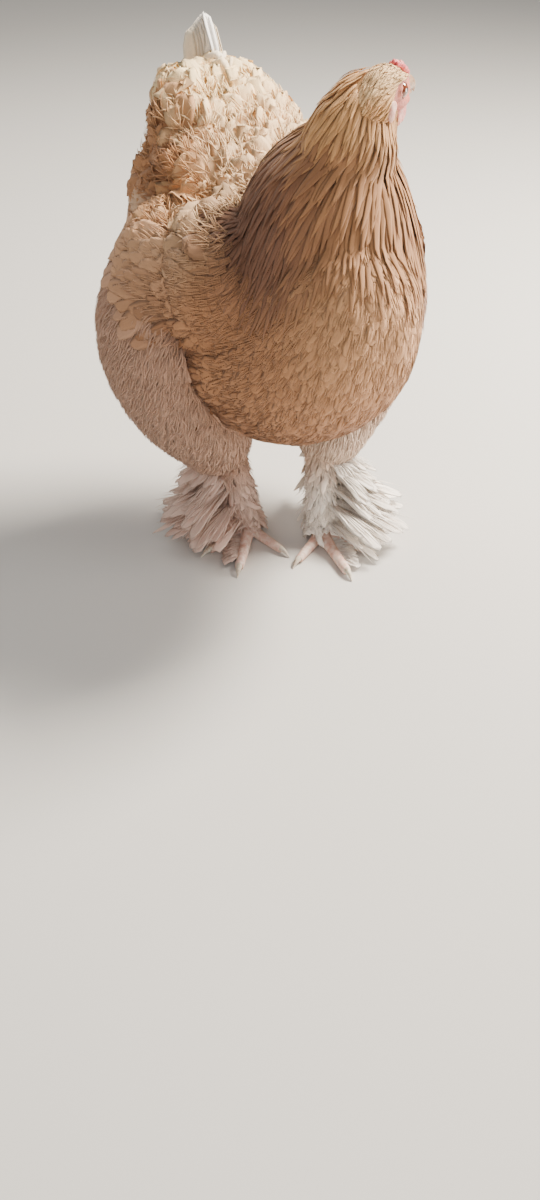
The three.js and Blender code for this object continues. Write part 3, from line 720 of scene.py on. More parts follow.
def thin_out(places, spacing):
    """Indexes of places that keep their own spacing in mm from those kept before them."""
    spacing = np.broadcast_to(spacing, len(places)) * MM
    grid = {}
    kept = []
    keys = np.floor(places / spacing.max()).astype(int)
    steps = [(x, y, z) for x in (-1, 0, 1) for y in (-1, 0, 1) for z in (-1, 0, 1)]
    for i, (key, place, gap) in enumerate(zip(keys.tolist(), places.tolist(), spacing.tolist())):
        cells = (grid.get((key[0] + x, key[1] + y, key[2] + z), ()) for x, y, z in steps)
        if all(math.dist(place, other) >= gap for cell in cells for other in cell):
            grid.setdefault(tuple(key), []).append(place)
            kept.append(i)
    return np.array(kept)


def lay_over(tree, places, lies, length, lift_root, lift_tip, shares, curl):
    """Spines that start at places and follow the skin along their lie, rising off it to the tip."""
    many = len(places)
    spine = np.empty((many, len(shares), 3))
    over = np.empty((many, len(shares), 3))
    for i in range(many):
        p, d, last = Vector(places[i]), Vector(lies[i]), 0.0
        reach = length[i] * MM
        for k, share in enumerate(shares):
            spot, normal, _, _ = tree.find_nearest(p + d * (reach * (share - last)))
            d = (d - normal * d.dot(normal)).normalized()
            p, last = spot, share
            spine[i, k] = spot + normal * (MM * mix(lift_root[i], lift_tip[i], share**curl))
            over[i, k] = normal
    over[:, 1:-1] = unit(over[:, 1:-1] * 2 + over[:, :-2] + over[:, 2:])
    return spine, over


def roll_over(spine, over, angle):
    """Turns each feather's face about its own line."""
    ahead = unit(spine[:, -1] - spine[:, 0])[:, None]
    c, s = np.cos(angle)[:, None, None], np.sin(angle)[:, None, None]
    return unit(over * c + np.cross(ahead, over) * s)


def turn_lie(lies, normals, angle):
    c, s = np.cos(angle)[:, None], np.sin(angle)[:, None]
    return lies * c + np.cross(normals, lies) * s


def unwrap(places, centre, axis_from, axis_to):
    """Each place on an unwrap of the form it grows on: round its axis, and along it."""
    a, b = np.array(axis_from), np.array(axis_to)
    axis = unit(b - a)
    seen = np.cross(axis, (0.0, 0.0, 1.0)) if abs(axis[2]) < 0.9 else np.array((1.0, 0.0, 0.0))
    seen = unit(seen - axis * (seen @ axis))
    other = np.cross(axis, seen)
    p = places - np.array(centre)
    round_it = np.arctan2(p @ other, p @ seen) / (2 * math.pi) + 0.5
    along_it = (places - a) @ axis / np.linalg.norm(b - a)
    return 0.01 + 0.97 * np.stack([round_it, np.clip(along_it, 0, 1)], axis=1)


def coat(name, tree, places, normals, lies, tints, style, spot, material, slot, *nodes):
    """Lays one feather at each place and joins them to one mesh."""
    style = {**PLAIN_COAT, **style}
    many = len(places)
    vary = lambda key, spread: np.broadcast_to(style[key], many) * (1 + rng.uniform(-spread, spread, many))
    lies = turn_lie(lies, normals, rng.normal(0, math.radians(style["stray"]), many))
    length = vary("length", 0.12)
    width = vary("width", 0.1)
    tip_lift = vary("lift", style["loose"])
    root_lift = np.broadcast_to(style["root_lift"], many)
    profile = style["profile"]
    spine, over = lay_over(
        tree, places, lies, length, root_lift, tip_lift, stations_with_tip(profile), style["curl"]
    )
    over = roll_over(spine, over, rng.normal(0, math.radians(style["roll"]), many))
    spine[:, -1] -= over[:, -1] * (style["hook"] * MM)
    tone = rng.normal(0, style["tone"], many)
    tints = tints * style["light"]
    root_tints = tints * style["root_shade"]
    made = feather_mesh(name, spine, over, width / 2, profile, root_tints, tints, tone, spot, style)
    return keep(made, material, slot, *nodes)


def fan_spine(root, lie, face_to, length, bend, shares):
    """The line of a feather that bends as it goes, and the side that it faces along it."""
    ahead = lie.normalized()
    across = ahead.cross(face_to).normalized()
    over = across.cross(ahead)
    spine = [root + (ahead * (share * length) + over * (bend * share * share)) * MM for share in shares]
    slope = [(over - ahead * (2 * bend * share / length)).normalized() for share in shares]
    return spine, slope


def fan_mesh(name, rows, profile, style, material, slot, *nodes):
    """rows hold root, lie, face, length, width, bend, root colour and tip colour of each feather."""
    shares = stations_with_tip(profile)
    roots, lies, faces, lengths, widths, bends, root_tints, tip_tints = zip(*rows)
    built = [fan_spine(*row, shares) for row in zip(roots, lies, faces, lengths, bends)]
    spine, over = (np.array(part, float) for part in zip(*built))
    tone = rng.normal(0, 0.04, len(rows))
    low, high = spine[:, 0].min(0), spine[:, 0].max(0)
    centre = (low + high) / 2
    spot = unwrap(spine[:, 0], centre, (*centre[:2], low[2] - 2 * MM), (*centre[:2], high[2] + 2 * MM))
    root_tints, tip_tints = np.array(root_tints), np.array(tip_tints)
    half = np.array(widths) / 2
    made = feather_mesh(name, spine, over, half, profile, root_tints, tip_tints, tone, spot, style)
    return keep(made, material, slot, *nodes)


# Skins


def copy_of_node(name):
    """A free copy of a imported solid, merged into one surface."""
    source = frame["nodes"][name]
    made = source.copy()
    made.data = source.data.copy()
    made.parent = None
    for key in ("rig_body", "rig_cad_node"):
        if key in made:
            del made[key]
    bpy.context.scene.collection.objects.link(made)
    return edit_all(made, bpy.ops.mesh.remove_doubles, threshold=0.01 * MM)


def thigh_line(side):
    sign, hock = SIDES[side], LEGS[side]["hock"]
    return [
        (sign * 96, -58, 336),
        (sign * 116, hock[1] * 0.4 - 38, 268),
        (hock[0] * 0.45 + sign * 72, hock[1] * 0.7 - 22, 196),
        (hock[0] + sign * 14, hock[1], 128),
    ]


def ball_chain(line, radii, depth, many):
    """Balls along a line, each drawn in by the depth of the coat that will lie on them."""
    return [ball(at(*c), [max(r - depth, 4)] * 3) for c, r in zip(samples(line, many), sizes(radii, many))]


def body_skin():
    """Torso, neck and thighs as one skin under the coat."""
    torso = copy_of_node("torso")
    edit_all(torso, bpy.ops.transform.shrink_fatten, value=-BODY_COAT_DEPTH * MM)
    pieces = [torso, *ball_chain(NECK_LINE, NECK_RADII, NECK_COAT_DEPTH, 16)]
    pieces += [ball(at(*place), [radius] * 3) for place, radius in NAPE]
    for sign in SIDES.values():
        pieces += [ball(at(sign * side, forward, up), half) for (side, forward, up), half in FLANK]
    pieces += [ball(at(*place), [radius] * 3) for place, radius in CUSHION_RIGHT]
    for side in SIDES:
        pieces += ball_chain(thigh_line(side), THIGH_RADII, THIGH_COAT_DEPTH, 11)
    first, last = TAIL_ROOT
    for i in range(TAIL_ROOT_BALLS):
        *place, radius = (mix(a, b, i / (TAIL_ROOT_BALLS - 1)) for a, b in zip(first, last))
        pieces.append(ball(at(*place), [radius] * 3))
    return fuse("body_skin", pieces, voxel=2.8, relax=10)


def lids(sign):
    """Two rings of thin skin round the eye, the inner one the edge of the lids."""
    rings = []
    for radius, thick, out, height in LIDS:
        bpy.ops.object.select_all(action="DESELECT")
        bpy.ops.mesh.primitive_torus_add(
            major_radius=radius * MM, minor_radius=thick * MM, major_segments=32, minor_segments=10,
            location=on_head(sign * (EYE_PLACE[0] + out), *EYE_PLACE[1:]),
            rotation=(0, math.radians(90), HEAD_TURN + sign * EYE_AHEAD),
        )
        ring = bpy.context.object
        ring.scale = (height, 1.06, 1)
        rings.append(settle(ring))
    return rings


def head_skin():
    """Skull, cheeks, brows, lids and chin as one skin, with a socket for each eye."""
    pieces = head_balls(SKULL)
    for sign in SIDES.values():
        pieces += head_balls(CHEEKS, sign) + lids(sign)
    made = fuse("face_skin", pieces, voxel=0.85, relax=5)
    for sign in SIDES.values():
        eye = on_head(sign * EYE_PLACE[0], *EYE_PLACE[1:])
        socket = ball(eye, [EYE_RADIUS + 0.15] * 3, HEAD_TURN, 32)
        hollow = made.modifiers.new("Socket", "BOOLEAN")
        hollow.operation = "DIFFERENCE"
        hollow.object = socket
        apply_all(made)
        bpy.data.objects.remove(socket)
    return made


def toe_place(side, angle, reach, up):
    leg, sign = LEGS[side], SIDES[side]
    way = sign * (math.radians(angle) + leg["turn"])
    return at(leg["foot"][0] + math.sin(way) * reach, leg["foot"][1] + math.cos(way) * reach, up)


def toe_bar(side, angle, length, radius):
    """One toe with its ring scutes, flattened underneath."""
    mid = radius - TOE_FLAT
    many = 44
    heights = sizes([mid + 3, mid + 0.6, mid, mid - 0.6], many)
    thick = sizes([radius + 1.5, radius, radius * 0.92, radius * 0.78], many)
    places, radii = [], []
    for n in range(many):
        share = n / (many - 1)
        step = (share * (length / SCUTE_PITCH)) % 1.0
        places.append(toe_place(side, angle, mix(4, length, share), heights[n]))
        radii.append(thick[n] * (0.93 + 0.09 * step))
    return tube("toe", places, radii, 12)


def leg_skin(side):
    """Shank, foot and toes as one scaly skin that stands flat on the floor."""
    foot, hock = LEGS[side]["foot"], LEGS[side]["hock"]
    knee = ((foot[0] + hock[0]) / 2, (foot[1] + hock[1]) / 2, 70)
    line = [(*hock, HOCK_HEIGHT + 14), knee, (foot[0], foot[1] - 2, 16)]
    pieces = [tube("shank", [at(*c) for c in samples(line, 20)], [SHANK_RADIUS] * 20, 14)]
    pieces.append(ball(at(*foot, 11.5), (12.5, 13.5, 12)))
    pieces += [toe_bar(side, *toe) for toe in TOES.values()]
    made = fuse(f"leg_skin_{side}", pieces, voxel=1.0, relax=2)
    return edit_all(
        made, bpy.ops.mesh.bisect,
        plane_co=(0, 0, 0.2 * MM), plane_no=(0, 0, 1), use_fill=True, clear_inner=True,
    )


torso_tree = surface_tree(frame["nodes"]["torso"])
skin = body_skin()
skin_tree = surface_tree(skin)
face = head_skin()
face_tree = surface_tree(face)
leg_skins = {side: leg_skin(side) for side in SIDES}


# Zones and markings of the body


neck_samples, neck_radii = samples(NECK_LINE, 30), sizes(NECK_RADII, 30)


def off_chain(points, centres, radii):
    """How far places are from a chain of balls, and the share of the chain that is nearest."""
    gaps = np.linalg.norm(points[:, None] - centres[None], axis=2) - radii[None]
    nearest = gaps.argmin(1)
    return gaps[np.arange(len(points)), nearest], nearest / (len(radii) - 1)


def off_torso(aside, ahead, up):
    """How far places are from the torso, read between its stations."""
    table = np.array(TORSO[::-1], float)
    lean, bottom, top, half, pinch = (np.interp(ahead, table[:, 0], table[:, k]) for k in range(1, 6))
    middle = bottom + (top - bottom) * (0.47 - 0.3 * pinch)
    lift = (up - middle) / np.where(up > middle, top - middle, middle - bottom)
    narrow = 1 - pinch * np.clip(lift, 0, 1) ** 1.5
    across = (aside - lean) / (half * narrow)
    past = np.maximum(ahead - 150, 0) + np.maximum(-150 - ahead, 0)
    return (np.hypot(across, lift) - 1) * np.minimum(half, 90) - past * 0.2


def before_edge(aside, ahead, up):
    """How far forward of the side feathers' edge places are."""
    heights, forwards = zip(*SIDE_EDGE)
    return ahead - np.interp(up, heights, forwards) - LEFT_EDGE_AHEAD * (aside > 0) * ramp(340, 280, up)


def zones(points):
    """Shares of neck, thighs and torso at places on the body, and where along the neck they are."""
    aside, ahead, up = own_millimetres(points)
    own = np.stack([aside, ahead, up], axis=1)
    neck, neck_share = off_chain(own, neck_samples, neck_radii)
    radii = sizes(THIGH_RADII, 24) - (THIGH_COAT_DEPTH - BODY_COAT_DEPTH)
    thigh = np.minimum(*(off_chain(own, samples(thigh_line(side), 24), radii)[0] for side in SIDES))
    gaps = np.stack([neck + 3, thigh, off_torso(aside, ahead, up)], axis=1)
    share = np.exp(-(gaps - gaps.min(1, keepdims=True)) / 6.0)
    share = share / share.sum(1, keepdims=True)
    covered = share[:, 1] * ramp(-4, 6, before_edge(aside, ahead, up)) * ramp(120, 150, up)
    share[:, 1] -= covered
    share[:, 2] += covered
    return share, neck_share


def torso_colour(aside, ahead, up):
    out = np.abs(aside)
    # Buff, with painted light to the front and left where the sun falls, and painted shade darker underneath.
    tint = rows_of(BUFF, len(up))
    tint = blend(tint, BUFF_LIGHT, 0.7 * ramp(40, 130, ahead + 0.8 * aside) * ramp(220, 360, up))
    tint = blend(tint, BUFF_SHADED, 0.8 * ramp(275, 165, up))
    # The saddle, and the cushion's cream behind it: the plumage's own paler colour, partly painted light on
    # the sunlit top.
    tint = blend(tint, SADDLE, ramp(340, 392, up + 0.1 * out) * ramp(70, -10, ahead))
    tint = blend(tint, CREAM_MID, ramp(385, 415, up) * ramp(-20, -80, ahead))
    tint = blend(tint, CREAM, ramp(425, 455, up) * ramp(-40, -90, ahead))
    # The cushion's right edge: a deeper cream tint, then buff as painted shade on the side away from the
    # light.
    tint = blend(tint, CREAM_DEEP, ramp(-38, -78, aside) * ramp(0, -50, ahead) * ramp(510, 480, up))
    tint = blend(tint, BUFF, 0.9 * ramp(-48, -82, aside) * ramp(-40, -90, ahead) * ramp(525, 485, up))
    # Fluff behind and below the wings, with a warm band between it and the cushion.
    tint = blend(tint, FLUFF, ramp(-120, -165, ahead) * ramp(400, 330, up))
    tint = blend(tint, FLUFF, ramp(-20, -60, ahead) * ramp(330, 280, up))
    tint = blend(tint, CREAM_DEEP, 0.5 * ramp(-100, -150, ahead) * ramp(330, 400, up) * ramp(450, 420, up))
    # The folded wing, and a rim of painted shade along the edge of the side feathers where they overhang the
    # thigh, half as dark on the left.
    folded = ramp(50, 0, ahead) * ramp(288, 308, up) * ramp(388, 362, up) * ramp(50, 80, out)
    tint = blend(tint, mix(BUFF_LIGHT, FLUFF, 0.4), 0.68 * folded)
    edge = before_edge(aside, ahead, up)
    rim = ramp(-8, 2, edge) * ramp(44, 8, edge) * ramp(364, 335, up) * ramp(60, 90, out)
    rim = rim * np.where(aside > 0, 0.5, 1) * ramp(-30, 30, ahead)
    return blend(tint, RIM_SHADE, 0.85 * rim)


def neck_colour(aside, ahead, up, neck_share):
    # Hackle, golden towards the head, with painted shade on the right shoulder and painted light down the
    # front.
    tint = blend(rows_of(HACKLE, len(up)), HACKLE_GOLD, ramp(0.62, 0.95, neck_share))
    tint = blend(tint, HEAD_GOLD, ramp(470, 512, up))
    shoulder = ramp(0.75, 0.42, neck_share) * ramp(20, -50, aside + 0.45 * (ahead - 60))
    tint = blend(tint, HACKLE_SHADED, 0.85 * shoulder)
    return blend(tint, HACKLE_GOLD, 0.45 * ramp(70, 130, ahead + 0.5 * aside))


def body_colour(points):
    """The hen's markings at places on its body, as linear colour."""
    aside, ahead, up = own_millimetres(points)
    share, neck_share = zones(points)
    torso = torso_colour(aside, ahead, up)
    neck = neck_colour(aside, ahead, up, neck_share)
    # Thigh fluff is paler low down, a little on the right and mostly on the left, where the extra paleness is
    # painted light on the sunlit side.
    thigh = blend(rows_of(FLUFF, len(up)), FLUFF_PALE, ramp(260, 150, up) * (0.08 + 0.92 * (aside > 0)))
    return share[:, :1] * neck + share[:, 1:2] * thigh + share[:, 2:] * torso


def body_lie(points, normals):
    """Which way feathers lie at places on the body, along its surface."""
    aside, ahead, up = own_millimetres(points)
    share, _ = zones(points)
    drop = -0.25 - 1.5 * ramp(60, 160, ahead) + 0.25 * ramp(330, 420, up) * ramp(90, 0, ahead)
    drop = drop + 0.9 * ramp(-60, -120, ahead) * ramp(380, 430, up)
    drop = drop - 2.4 * ramp(-140, -175, ahead) * ramp(430, 400, up)
    torso = np.stack([np.zeros_like(up), np.ones_like(up), drop], axis=1)
    own = np.stack([aside, ahead, up], axis=1)
    nearest = np.linalg.norm(own[:, None] - neck_samples[None], axis=2).argmin(1)
    down = np.gradient(neck_samples, axis=0)[nearest] * -1
    neck = unit(np.stack([down[:, 0], -down[:, 1], down[:, 2]], axis=1))
    neck = neck + normals * (1, 1, 0) * 0.3
    thigh = rows_of((0.0, 0.45, -1.0), len(up))
    lie = share[:, :1] * neck + share[:, 1:2] * unit(thigh) + share[:, 2:] * unit(torso)
    return along_surface(lie, normals)


def paint(o, colour_at):
    """Gives a skin the colours of its places, for its material to read."""
    co = np.empty(len(o.data.vertices) * 3, np.float32)
    o.data.vertices.foreach_get("co", co)
    give_colour(o.data, colour_at(co.reshape(-1, 3).astype(float)))


# Coats of the body


places, normals = skin_points(skin, 5.0, 5.0)
lies = body_lie(places, normals)
aside, ahead, up = own_millimetres(places)
out = np.abs(aside)
share, neck_share = zones(places)
on_torso = share[:, 2] > 0.4
head_aside, head_ahead, head_up = head_millimetres(places)
in_head = (head_aside / 17) ** 2 + ((head_ahead + 6) / 30) ** 2 + ((head_up + 3) / 22) ** 2 < 1
hidden = in_head | (up > 524)
is_neck = (share[:, 0] > 0.5) & ~hidden
is_back = on_torso & (up > 385 - 0.1 * ahead - 22 * ramp(50, 90, out) * ramp(50, 0, ahead)) & (ahead < 50)
is_back &= ~is_neck & ~hidden
is_wing = on_torso & (out > 60) & (ahead > -112) & (ahead < 84) & (up > 300) & ~is_neck & ~is_back
is_down = (share[:, 1] > 0.5) & ~is_neck & ~hidden
is_down |= on_torso & (ahead < -118 + 0.5 * (up - 400)) & (up < 415) & ~is_neck
is_down &= ~is_back
is_down |= on_torso & (ahead < -30 - 0.6 * np.maximum(up - 270, 0)) & (up < 350)
is_down &= ~is_wing
is_body = ~(is_neck | is_down | is_back | is_wing | hidden)
# Axes round which the coats are unwrapped: a place on them, their start and their end.
BODY_AXIS = [at(0, 0, 300), at(0, 190, 300), at(0, -190, 300)]
NECK_AXIS = [at(0, 72, 400), at(0, 72, 300), at(0, 72, 520)]
body_spot = unwrap(places, *BODY_AXIS)
neck_spot = unwrap(places, *NECK_AXIS)
down_spot = {
    side: unwrap(places, at(sign * 100, -40, 230), at(sign * 100, -40, 90), at(sign * 100, -40, 460))
    for side, sign in SIDES.items()
}


def lay_coat(name, mask, spacing, style, spots, material, slot, *nodes, strands=1):
    """A coat over the places in mask; with strands, each place carries a tuft of that many."""
    chosen = np.flatnonzero(mask)
    chosen = chosen[thin_out(places[chosen], np.broadcast_to(spacing, len(places))[chosen])]
    rows = np.repeat(chosen, strands)
    style = {key: value[rows] if isinstance(value, np.ndarray) else value for key, value in style.items()}
    start = places[rows]
    if strands > 1:
        start = start + np.cross(normals[rows], lies[rows]) * rng.uniform(-3, 3, (len(rows), 1)) * MM
    tints = body_colour(places[rows])
    return coat(
        name, skin_tree, start, normals[rows], lies[rows], tints, style, spots[rows], material, slot, *nodes
    )


paint(skin, lambda points: body_colour(points) * 0.8)
keep(skin, UNDER_SKIN, "plumage_buff", "torso")
# How near places are to the breast and to the head, how far the edge of the side feathers and the folded
# wing lift the plumage, and the hollow between saddle and cushion, where long feathers would fold.
front = ramp(0, 120, ahead)
down_neck = ramp(0.98, 0.4, neck_share)
brim = ramp(26, 2, before_edge(aside, ahead, up)) * ramp(352, 330, up) * (out > 60)
rise = 7 * ramp(110, 0, ahead) * ramp(400, 356, up) * ramp(270, 330, up) * ramp(50, 90, out)
hollow = np.linalg.norm(np.stack([aside + 47, ahead + 36, up - 412], axis=1), axis=1) < 28
lay_coat(
    "breast_feathers", is_body | is_wing, mix(6.0, 5.4, front),
    {
        "profile": OVATE, "length": mix(32, 28, front) + 8 * brim, "width": mix(14, 11, front) + 3 * brim,
        "lift": mix(6.6, 6.2, front) + 3 * brim + rise, "root_lift": 5.2 + rise, "loose": 0.05, "curl": 1.3,
        "stray": 7, "roll": 4, "tone": 0.025, "root_shade": 0.95,
        "ragged": 0.16, "frill": 1.6, "thick": 0.2, "cup": 0.03,
    },
    body_spot, SMOOTH_FEATHER, "plumage_buff",
)
lay_coat(
    "breast_wisps", is_body | is_wing, 6.2,
    {
        **WISPS, "length": 20.0, "width": 1.6, "thick": 0.1, "lift": 6.5 + 2 * brim + rise,
        "root_lift": 5.9 + rise, "loose": 0.04, "stray": 8, "roll": 3, "tone": 0.015, "root_shade": 0.98,
    },
    body_spot, SMOOTH_FEATHER, "plumage_buff", strands=5,
)
lay_coat(
    "back_feathers", is_back, 9.0,
    {
        "profile": ROUND, "columns": 7, "length": np.where(hollow, 17.0, 34.0),
        "width": np.where(hollow, 13.0, 25.0), "lift": 13.0, "loose": 0.4, "curl": 1.4, "hook": 4.5,
        "stray": 18, "roll": 12, "root_shade": 0.74, "ragged": 0.22, "frill": 3.4, "cup": 0.2,
    },
    body_spot, SMOOTH_FEATHER, "plumage_cream",
)
lay_coat(
    "back_wisps", is_back, 8.0,
    {
        **WISPS, "length": 15.0, "width": 1.5, "lift": 13.6, "root_lift": 8.0, "loose": 0.3, "hook": 1.5,
        "stray": 30, "roll": 20, "root_shade": 0.92, "light": 1.04,
    },
    body_spot, DOWNY_FEATHER, "plumage_cream", strands=8,
)
lay_coat(
    "hackle_feathers", is_neck, mix(3.2, 5.0, down_neck),
    {
        "profile": LANCE, "length": mix(22, 68, down_neck), "width": mix(4.0, 7.4, down_neck),
        "lift": mix(4.5, 8.0, down_neck), "root_lift": mix(1.2, 2.6, down_neck), "stray": 5, "roll": 7,
        "root_shade": 0.88, "ragged": 0.08, "thick": 0.28, "cup": 0.08, "sweep": 0.8,
    },
    neck_spot, SILKY_FEATHER, "plumage_hackle", "neck",
)
for side, sign in SIDES.items():
    own = is_down & (aside * sign > 0)
    lay_coat(
        f"thigh_fluff_{side}", own, 7.0,
        {
            "profile": ROUND, "length": 34.0, "width": 18.0, "lift": 9.6, "root_lift": 6.0, "loose": 0.12,
            "stray": 14, "roll": 7, "tone": 0.02, "root_shade": 0.95,
            "ragged": 0.2, "frill": 2.4, "thick": 0.2, "cup": 0.04,
        },
        down_spot[side], DOWNY_FEATHER, "plumage_cream", f"thigh_{side}",
    )
    for layer, (lift, light) in enumerate(((10.2, 0.98), (12.0, 1.02))):
        lay_coat(
            f"thigh_down_{side}_{layer}", own, 6.0,
            {
                **WISPS, "length": 25.0, "width": 1.7, "thick": 0.15, "lift": lift, "root_lift": lift - 2.4,
                "loose": 0.14, "stray": 12, "tone": 0.02, "root_shade": 0.97, "light": light,
            },
            down_spot[side], DOWNY_FEATHER, "plumage_cream", strands=8,
        )


# Wings, tail and boots


def flank(sign, forward, up):
    """The place and outward normal of the torso's flank at forward and up."""
    start = at(sign * 260, forward, up)
    spot, normal, _, _ = torso_tree.ray_cast(start, Vector((-sign, 0, 0)))
    return (spot, normal) if spot else (at(0, forward, up), Vector((sign, 0, 0)))


def wing_spine(sign, tier, row):
    """The line of one wing feather along the flank, and the side that it faces along it."""
    root = mix(*map(np.array, tier["roots"]), row)
    tip = mix(*map(np.array, tier["tips"]), row)
    lie = (tip - root) / np.linalg.norm(tip - root)
    spine, over = [], []
    for share in stations_with_tip(QUILL):
        drift = 20 * (0.5 - row) * share * (1 - share)
        forward, up = mix(root, tip, share) + np.array((-lie[1], lie[0])) * drift
        spot, normal = flank(sign, forward, up)
        off = mix(1.0, tier["off"], min(1, share * 1.4)) + rng.uniform(-0.3, 0.3)
        spine.append(spot + normal * off * MM)
        over.append(normal + Vector((0, 0, 0.18)))
    return spine, over


def wing(side):
    """Tiers of flat overlapping vanes along the folded wing, from the hidden flight feathers up."""
    rows = [(tier, i / (tier["many"] - 1)) for tier in WING_TIERS for i in range(tier["many"])]
    spine, over = map(np.array, zip(*(wing_spine(SIDES[side], *row) for row in rows)))
    half = np.array([tier["width"] / 2 for tier, _ in rows])
    _, forward, height = own_millimetres(spine[:, 3])
    tint = blend(rows_of(mix(BUFF, BUFF_LIGHT, 0.6), len(rows)), SADDLE, ramp(320, 372, height))
    tint = blend(tint, FLUFF, np.maximum(0.45 * ramp(-20, -120, forward), 0.9 * ramp(374, 348, height)))
    spot = unwrap(spine[:, 0], *BODY_AXIS)
    style = {"thick": 0.3, "cup": 0.08, "ragged": 0.08, "sweep": 0.5, "frill": 1.0}
    tone = rng.normal(0, 0.05, len(rows))
    name = f"wing_feathers_{side}"
    made = feather_mesh(name, spine, unit(over), half, QUILL, tint * 0.93, tint, tone, spot, style)
    keep(made, STIFF_FEATHER, "plumage_buff", f"wing_{side}")


COVERT_LIES = ((0, -0.5, 0.84), (-0.1, -0.5, 0.84))
COVERT_FACES = ((0.7, 0.5, 0.5), (0.95, 0, 0.2))
UNDER_FACES = ((0, -1, -0.2), (0.6, -1, -0.2))
# The tail's fans: two tiers of coverts over the tent, shorter quills that spread behind it, and three
# tiers of soft coverts under them. Each goes from its middle feather to its outer one.
TAIL_FANS = [
    {"many": 8, "roots": ((5, -134, 446), (28, -166, 412)), "lies": COVERT_LIES, "faces": COVERT_FACES,
     "lengths": (54, 43.2), "widths": (23, 23), "bend": 5, "cream": (0.5, 0.5), "root_shade": 0.75},
    {"many": 8, "roots": ((5, -128, 449), (28, -166, 415)), "lies": COVERT_LIES, "faces": COVERT_FACES,
     "lengths": (44, 35.2), "widths": (23, 23), "bend": 8, "cream": (0.8, 0.8), "root_shade": 0.75},
    {"many": 7, "roots": ((3, -152, 438), (15, -172, 412)),
     "lies": ((0.03, -0.52, 0.85), (0.16, -0.94, 0.34)), "faces": ((0.9, -0.1, 0.35), (0.9, 0.1, 0.35)),
     "lengths": (84, 50), "widths": (20, 24), "bend": 2, "cream": (0, 1), "root_shade": 0.8},
    {"many": 5, "roots": ((1, -176, 424), (22.6, -170, 412)), "lies": ((0, -0.62, 0.75), (0.4, -0.62, 0.75)),
     "faces": UNDER_FACES,
     "lengths": (52, 40), "widths": (19, 19), "bend": 3, "cream": (0.5, 0.5), "root_shade": 0.85},
    {"many": 5, "roots": ((1, -173, 412), (22.6, -167, 400)), "lies": ((0, -0.74, 0.55), (0.4, -0.74, 0.55)),
     "faces": UNDER_FACES,
     "lengths": (46, 34), "widths": (19, 19), "bend": 3, "cream": (0.7, 0.7), "root_shade": 0.85},
    {"many": 5, "roots": ((1, -170, 400), (22.6, -164, 388)), "lies": ((0, -0.86, 0.35), (0.4, -0.86, 0.35)),
     "faces": UNDER_FACES,
     "lengths": (40, 28), "widths": (19, 19), "bend": 3, "cream": (0.9, 0.9), "root_shade": 0.85},
]
TENT_QUILLS = 8


def tent_row(sign, i):
    """One long quill of the tent, which leans to the tail's peak."""
    share = i / (TENT_QUILLS - 1)
    root = at(TAIL_MIDDLE + sign * mix(2, 27, share), mix(-146, -168, share), mix(452, 424, share))
    lie = at(*TAIL_PEAK) + heading(sign * (1 + 2.4 * i), -1.5 * i, 0) * MM - root
    facing = heading(sign * mix(0.6, 0.95, share), mix(0.7, 0.3, share), 0.3)
    length = lie.length / MM * mix(1, 0.84, share) + rng.uniform(-2, 1)
    # The grey at the roots of the middle quills is painted shadow between the tail's two halves.
    root_tint, tint = mix(TAIL_SHADOW_GREY, CREAM_DEEP, share), mix(TAIL_WHITE, CREAM, 0.6 * share)
    return root, lie, facing, length, mix(13, 19, share), -3, root_tint, tint


def fan_row(sign, fan, i):
    """One feather of a fan of the tail."""
    share = i / (fan["many"] - 1)
    root, lie, facing = (mix(*map(np.array, fan[key]), share) for key in ("roots", "lies", "faces"))
    tint = mix(TAIL_WHITE, CREAM, mix(*fan["cream"], share))
    return (
        at(TAIL_MIDDLE + sign * root[0], *root[1:]), heading(sign * lie[0], *lie[1:]),
        heading(sign * facing[0], *facing[1:]), mix(*fan["lengths"], share), mix(*fan["widths"], share),
        fan["bend"], tint * fan["root_shade"], tint,
    )


def tail():
    """A short tent of quills that lean together to one tip, with fans of coverts and quills round it."""
    rows = []
    for sign in SIDES.values():
        rows += [tent_row(sign, i) for i in range(TENT_QUILLS)]
        rows += [fan_row(sign, fan, i) for fan in TAIL_FANS for i in range(fan["many"])]
    style = {"cup": 0.18, "ragged": 0.1, "sweep": 0.5, "frill": 1.5}
    fan_mesh("tail_feathers", rows, QUILL, style, STIFF_FEATHER, "plumage_cream", "tail")


def shank_at(side, up):
    """A place on the shank's middle line at a height."""
    foot, hock = LEGS[side]["foot"], LEGS[side]["hock"]
    share = (up - 20) / (HOCK_HEIGHT - 10)
    return at(mix(foot[0], hock[0], share), mix(foot[1], hock[1], share), up)


def turned(way, angle):
    """A direction turned about the vertical by an angle in degrees."""
    return Matrix.Rotation(math.radians(angle), 3, "Z") @ way


def shank_rows(side):
    """Feathers that fan out from the shank's outer side in tiers and droop to the ground."""
    sign, turn = SIDES[side], LEGS[side]["turn"]
    upward = Vector((0, 0, 1))
    rows = []
    for high, low, reach, first, last, many, width in BOOT_TIERS:
        for i in range(many):
            share = i / (many - 1)
            way = sign * (turn + math.radians(mix(first, last, share) + rng.uniform(-4, 4)))
            out = heading(math.sin(way), math.cos(way), 0)
            far = reach * (1 - 0.22 * (2 * share - 1) ** 2 + rng.uniform(-0.08, 0.06))
            root = shank_at(side, high + rng.uniform(-3, 4)) + out * (SHANK_RADIUS - 5) * MM
            droop = (high - low) * rng.uniform(0.92, 1.04)
            lie = out * far + Vector((0, 0, -droop * 0.45))
            facing = upward + out.cross(upward) * rng.uniform(-0.15, 0.3) * sign
            tint = BOOT_LIT_AND_SHADED[side] * rng.uniform(0.94, 1.04)
            # Each feather splits into loose fingers.
            for _ in range(BOOT_FINGERS):
                lean = turned(lie, rng.uniform(-10, 10))
                size = rng.uniform(0.7, 1.02)
                broad = width * rng.uniform(0.45, 0.75)
                bend = -droop * 0.5 * size + rng.uniform(-2, 4)
                rows.append((root, lean, facing, lie.length * size, broad, bend, tint * 0.85, tint))
    return rows


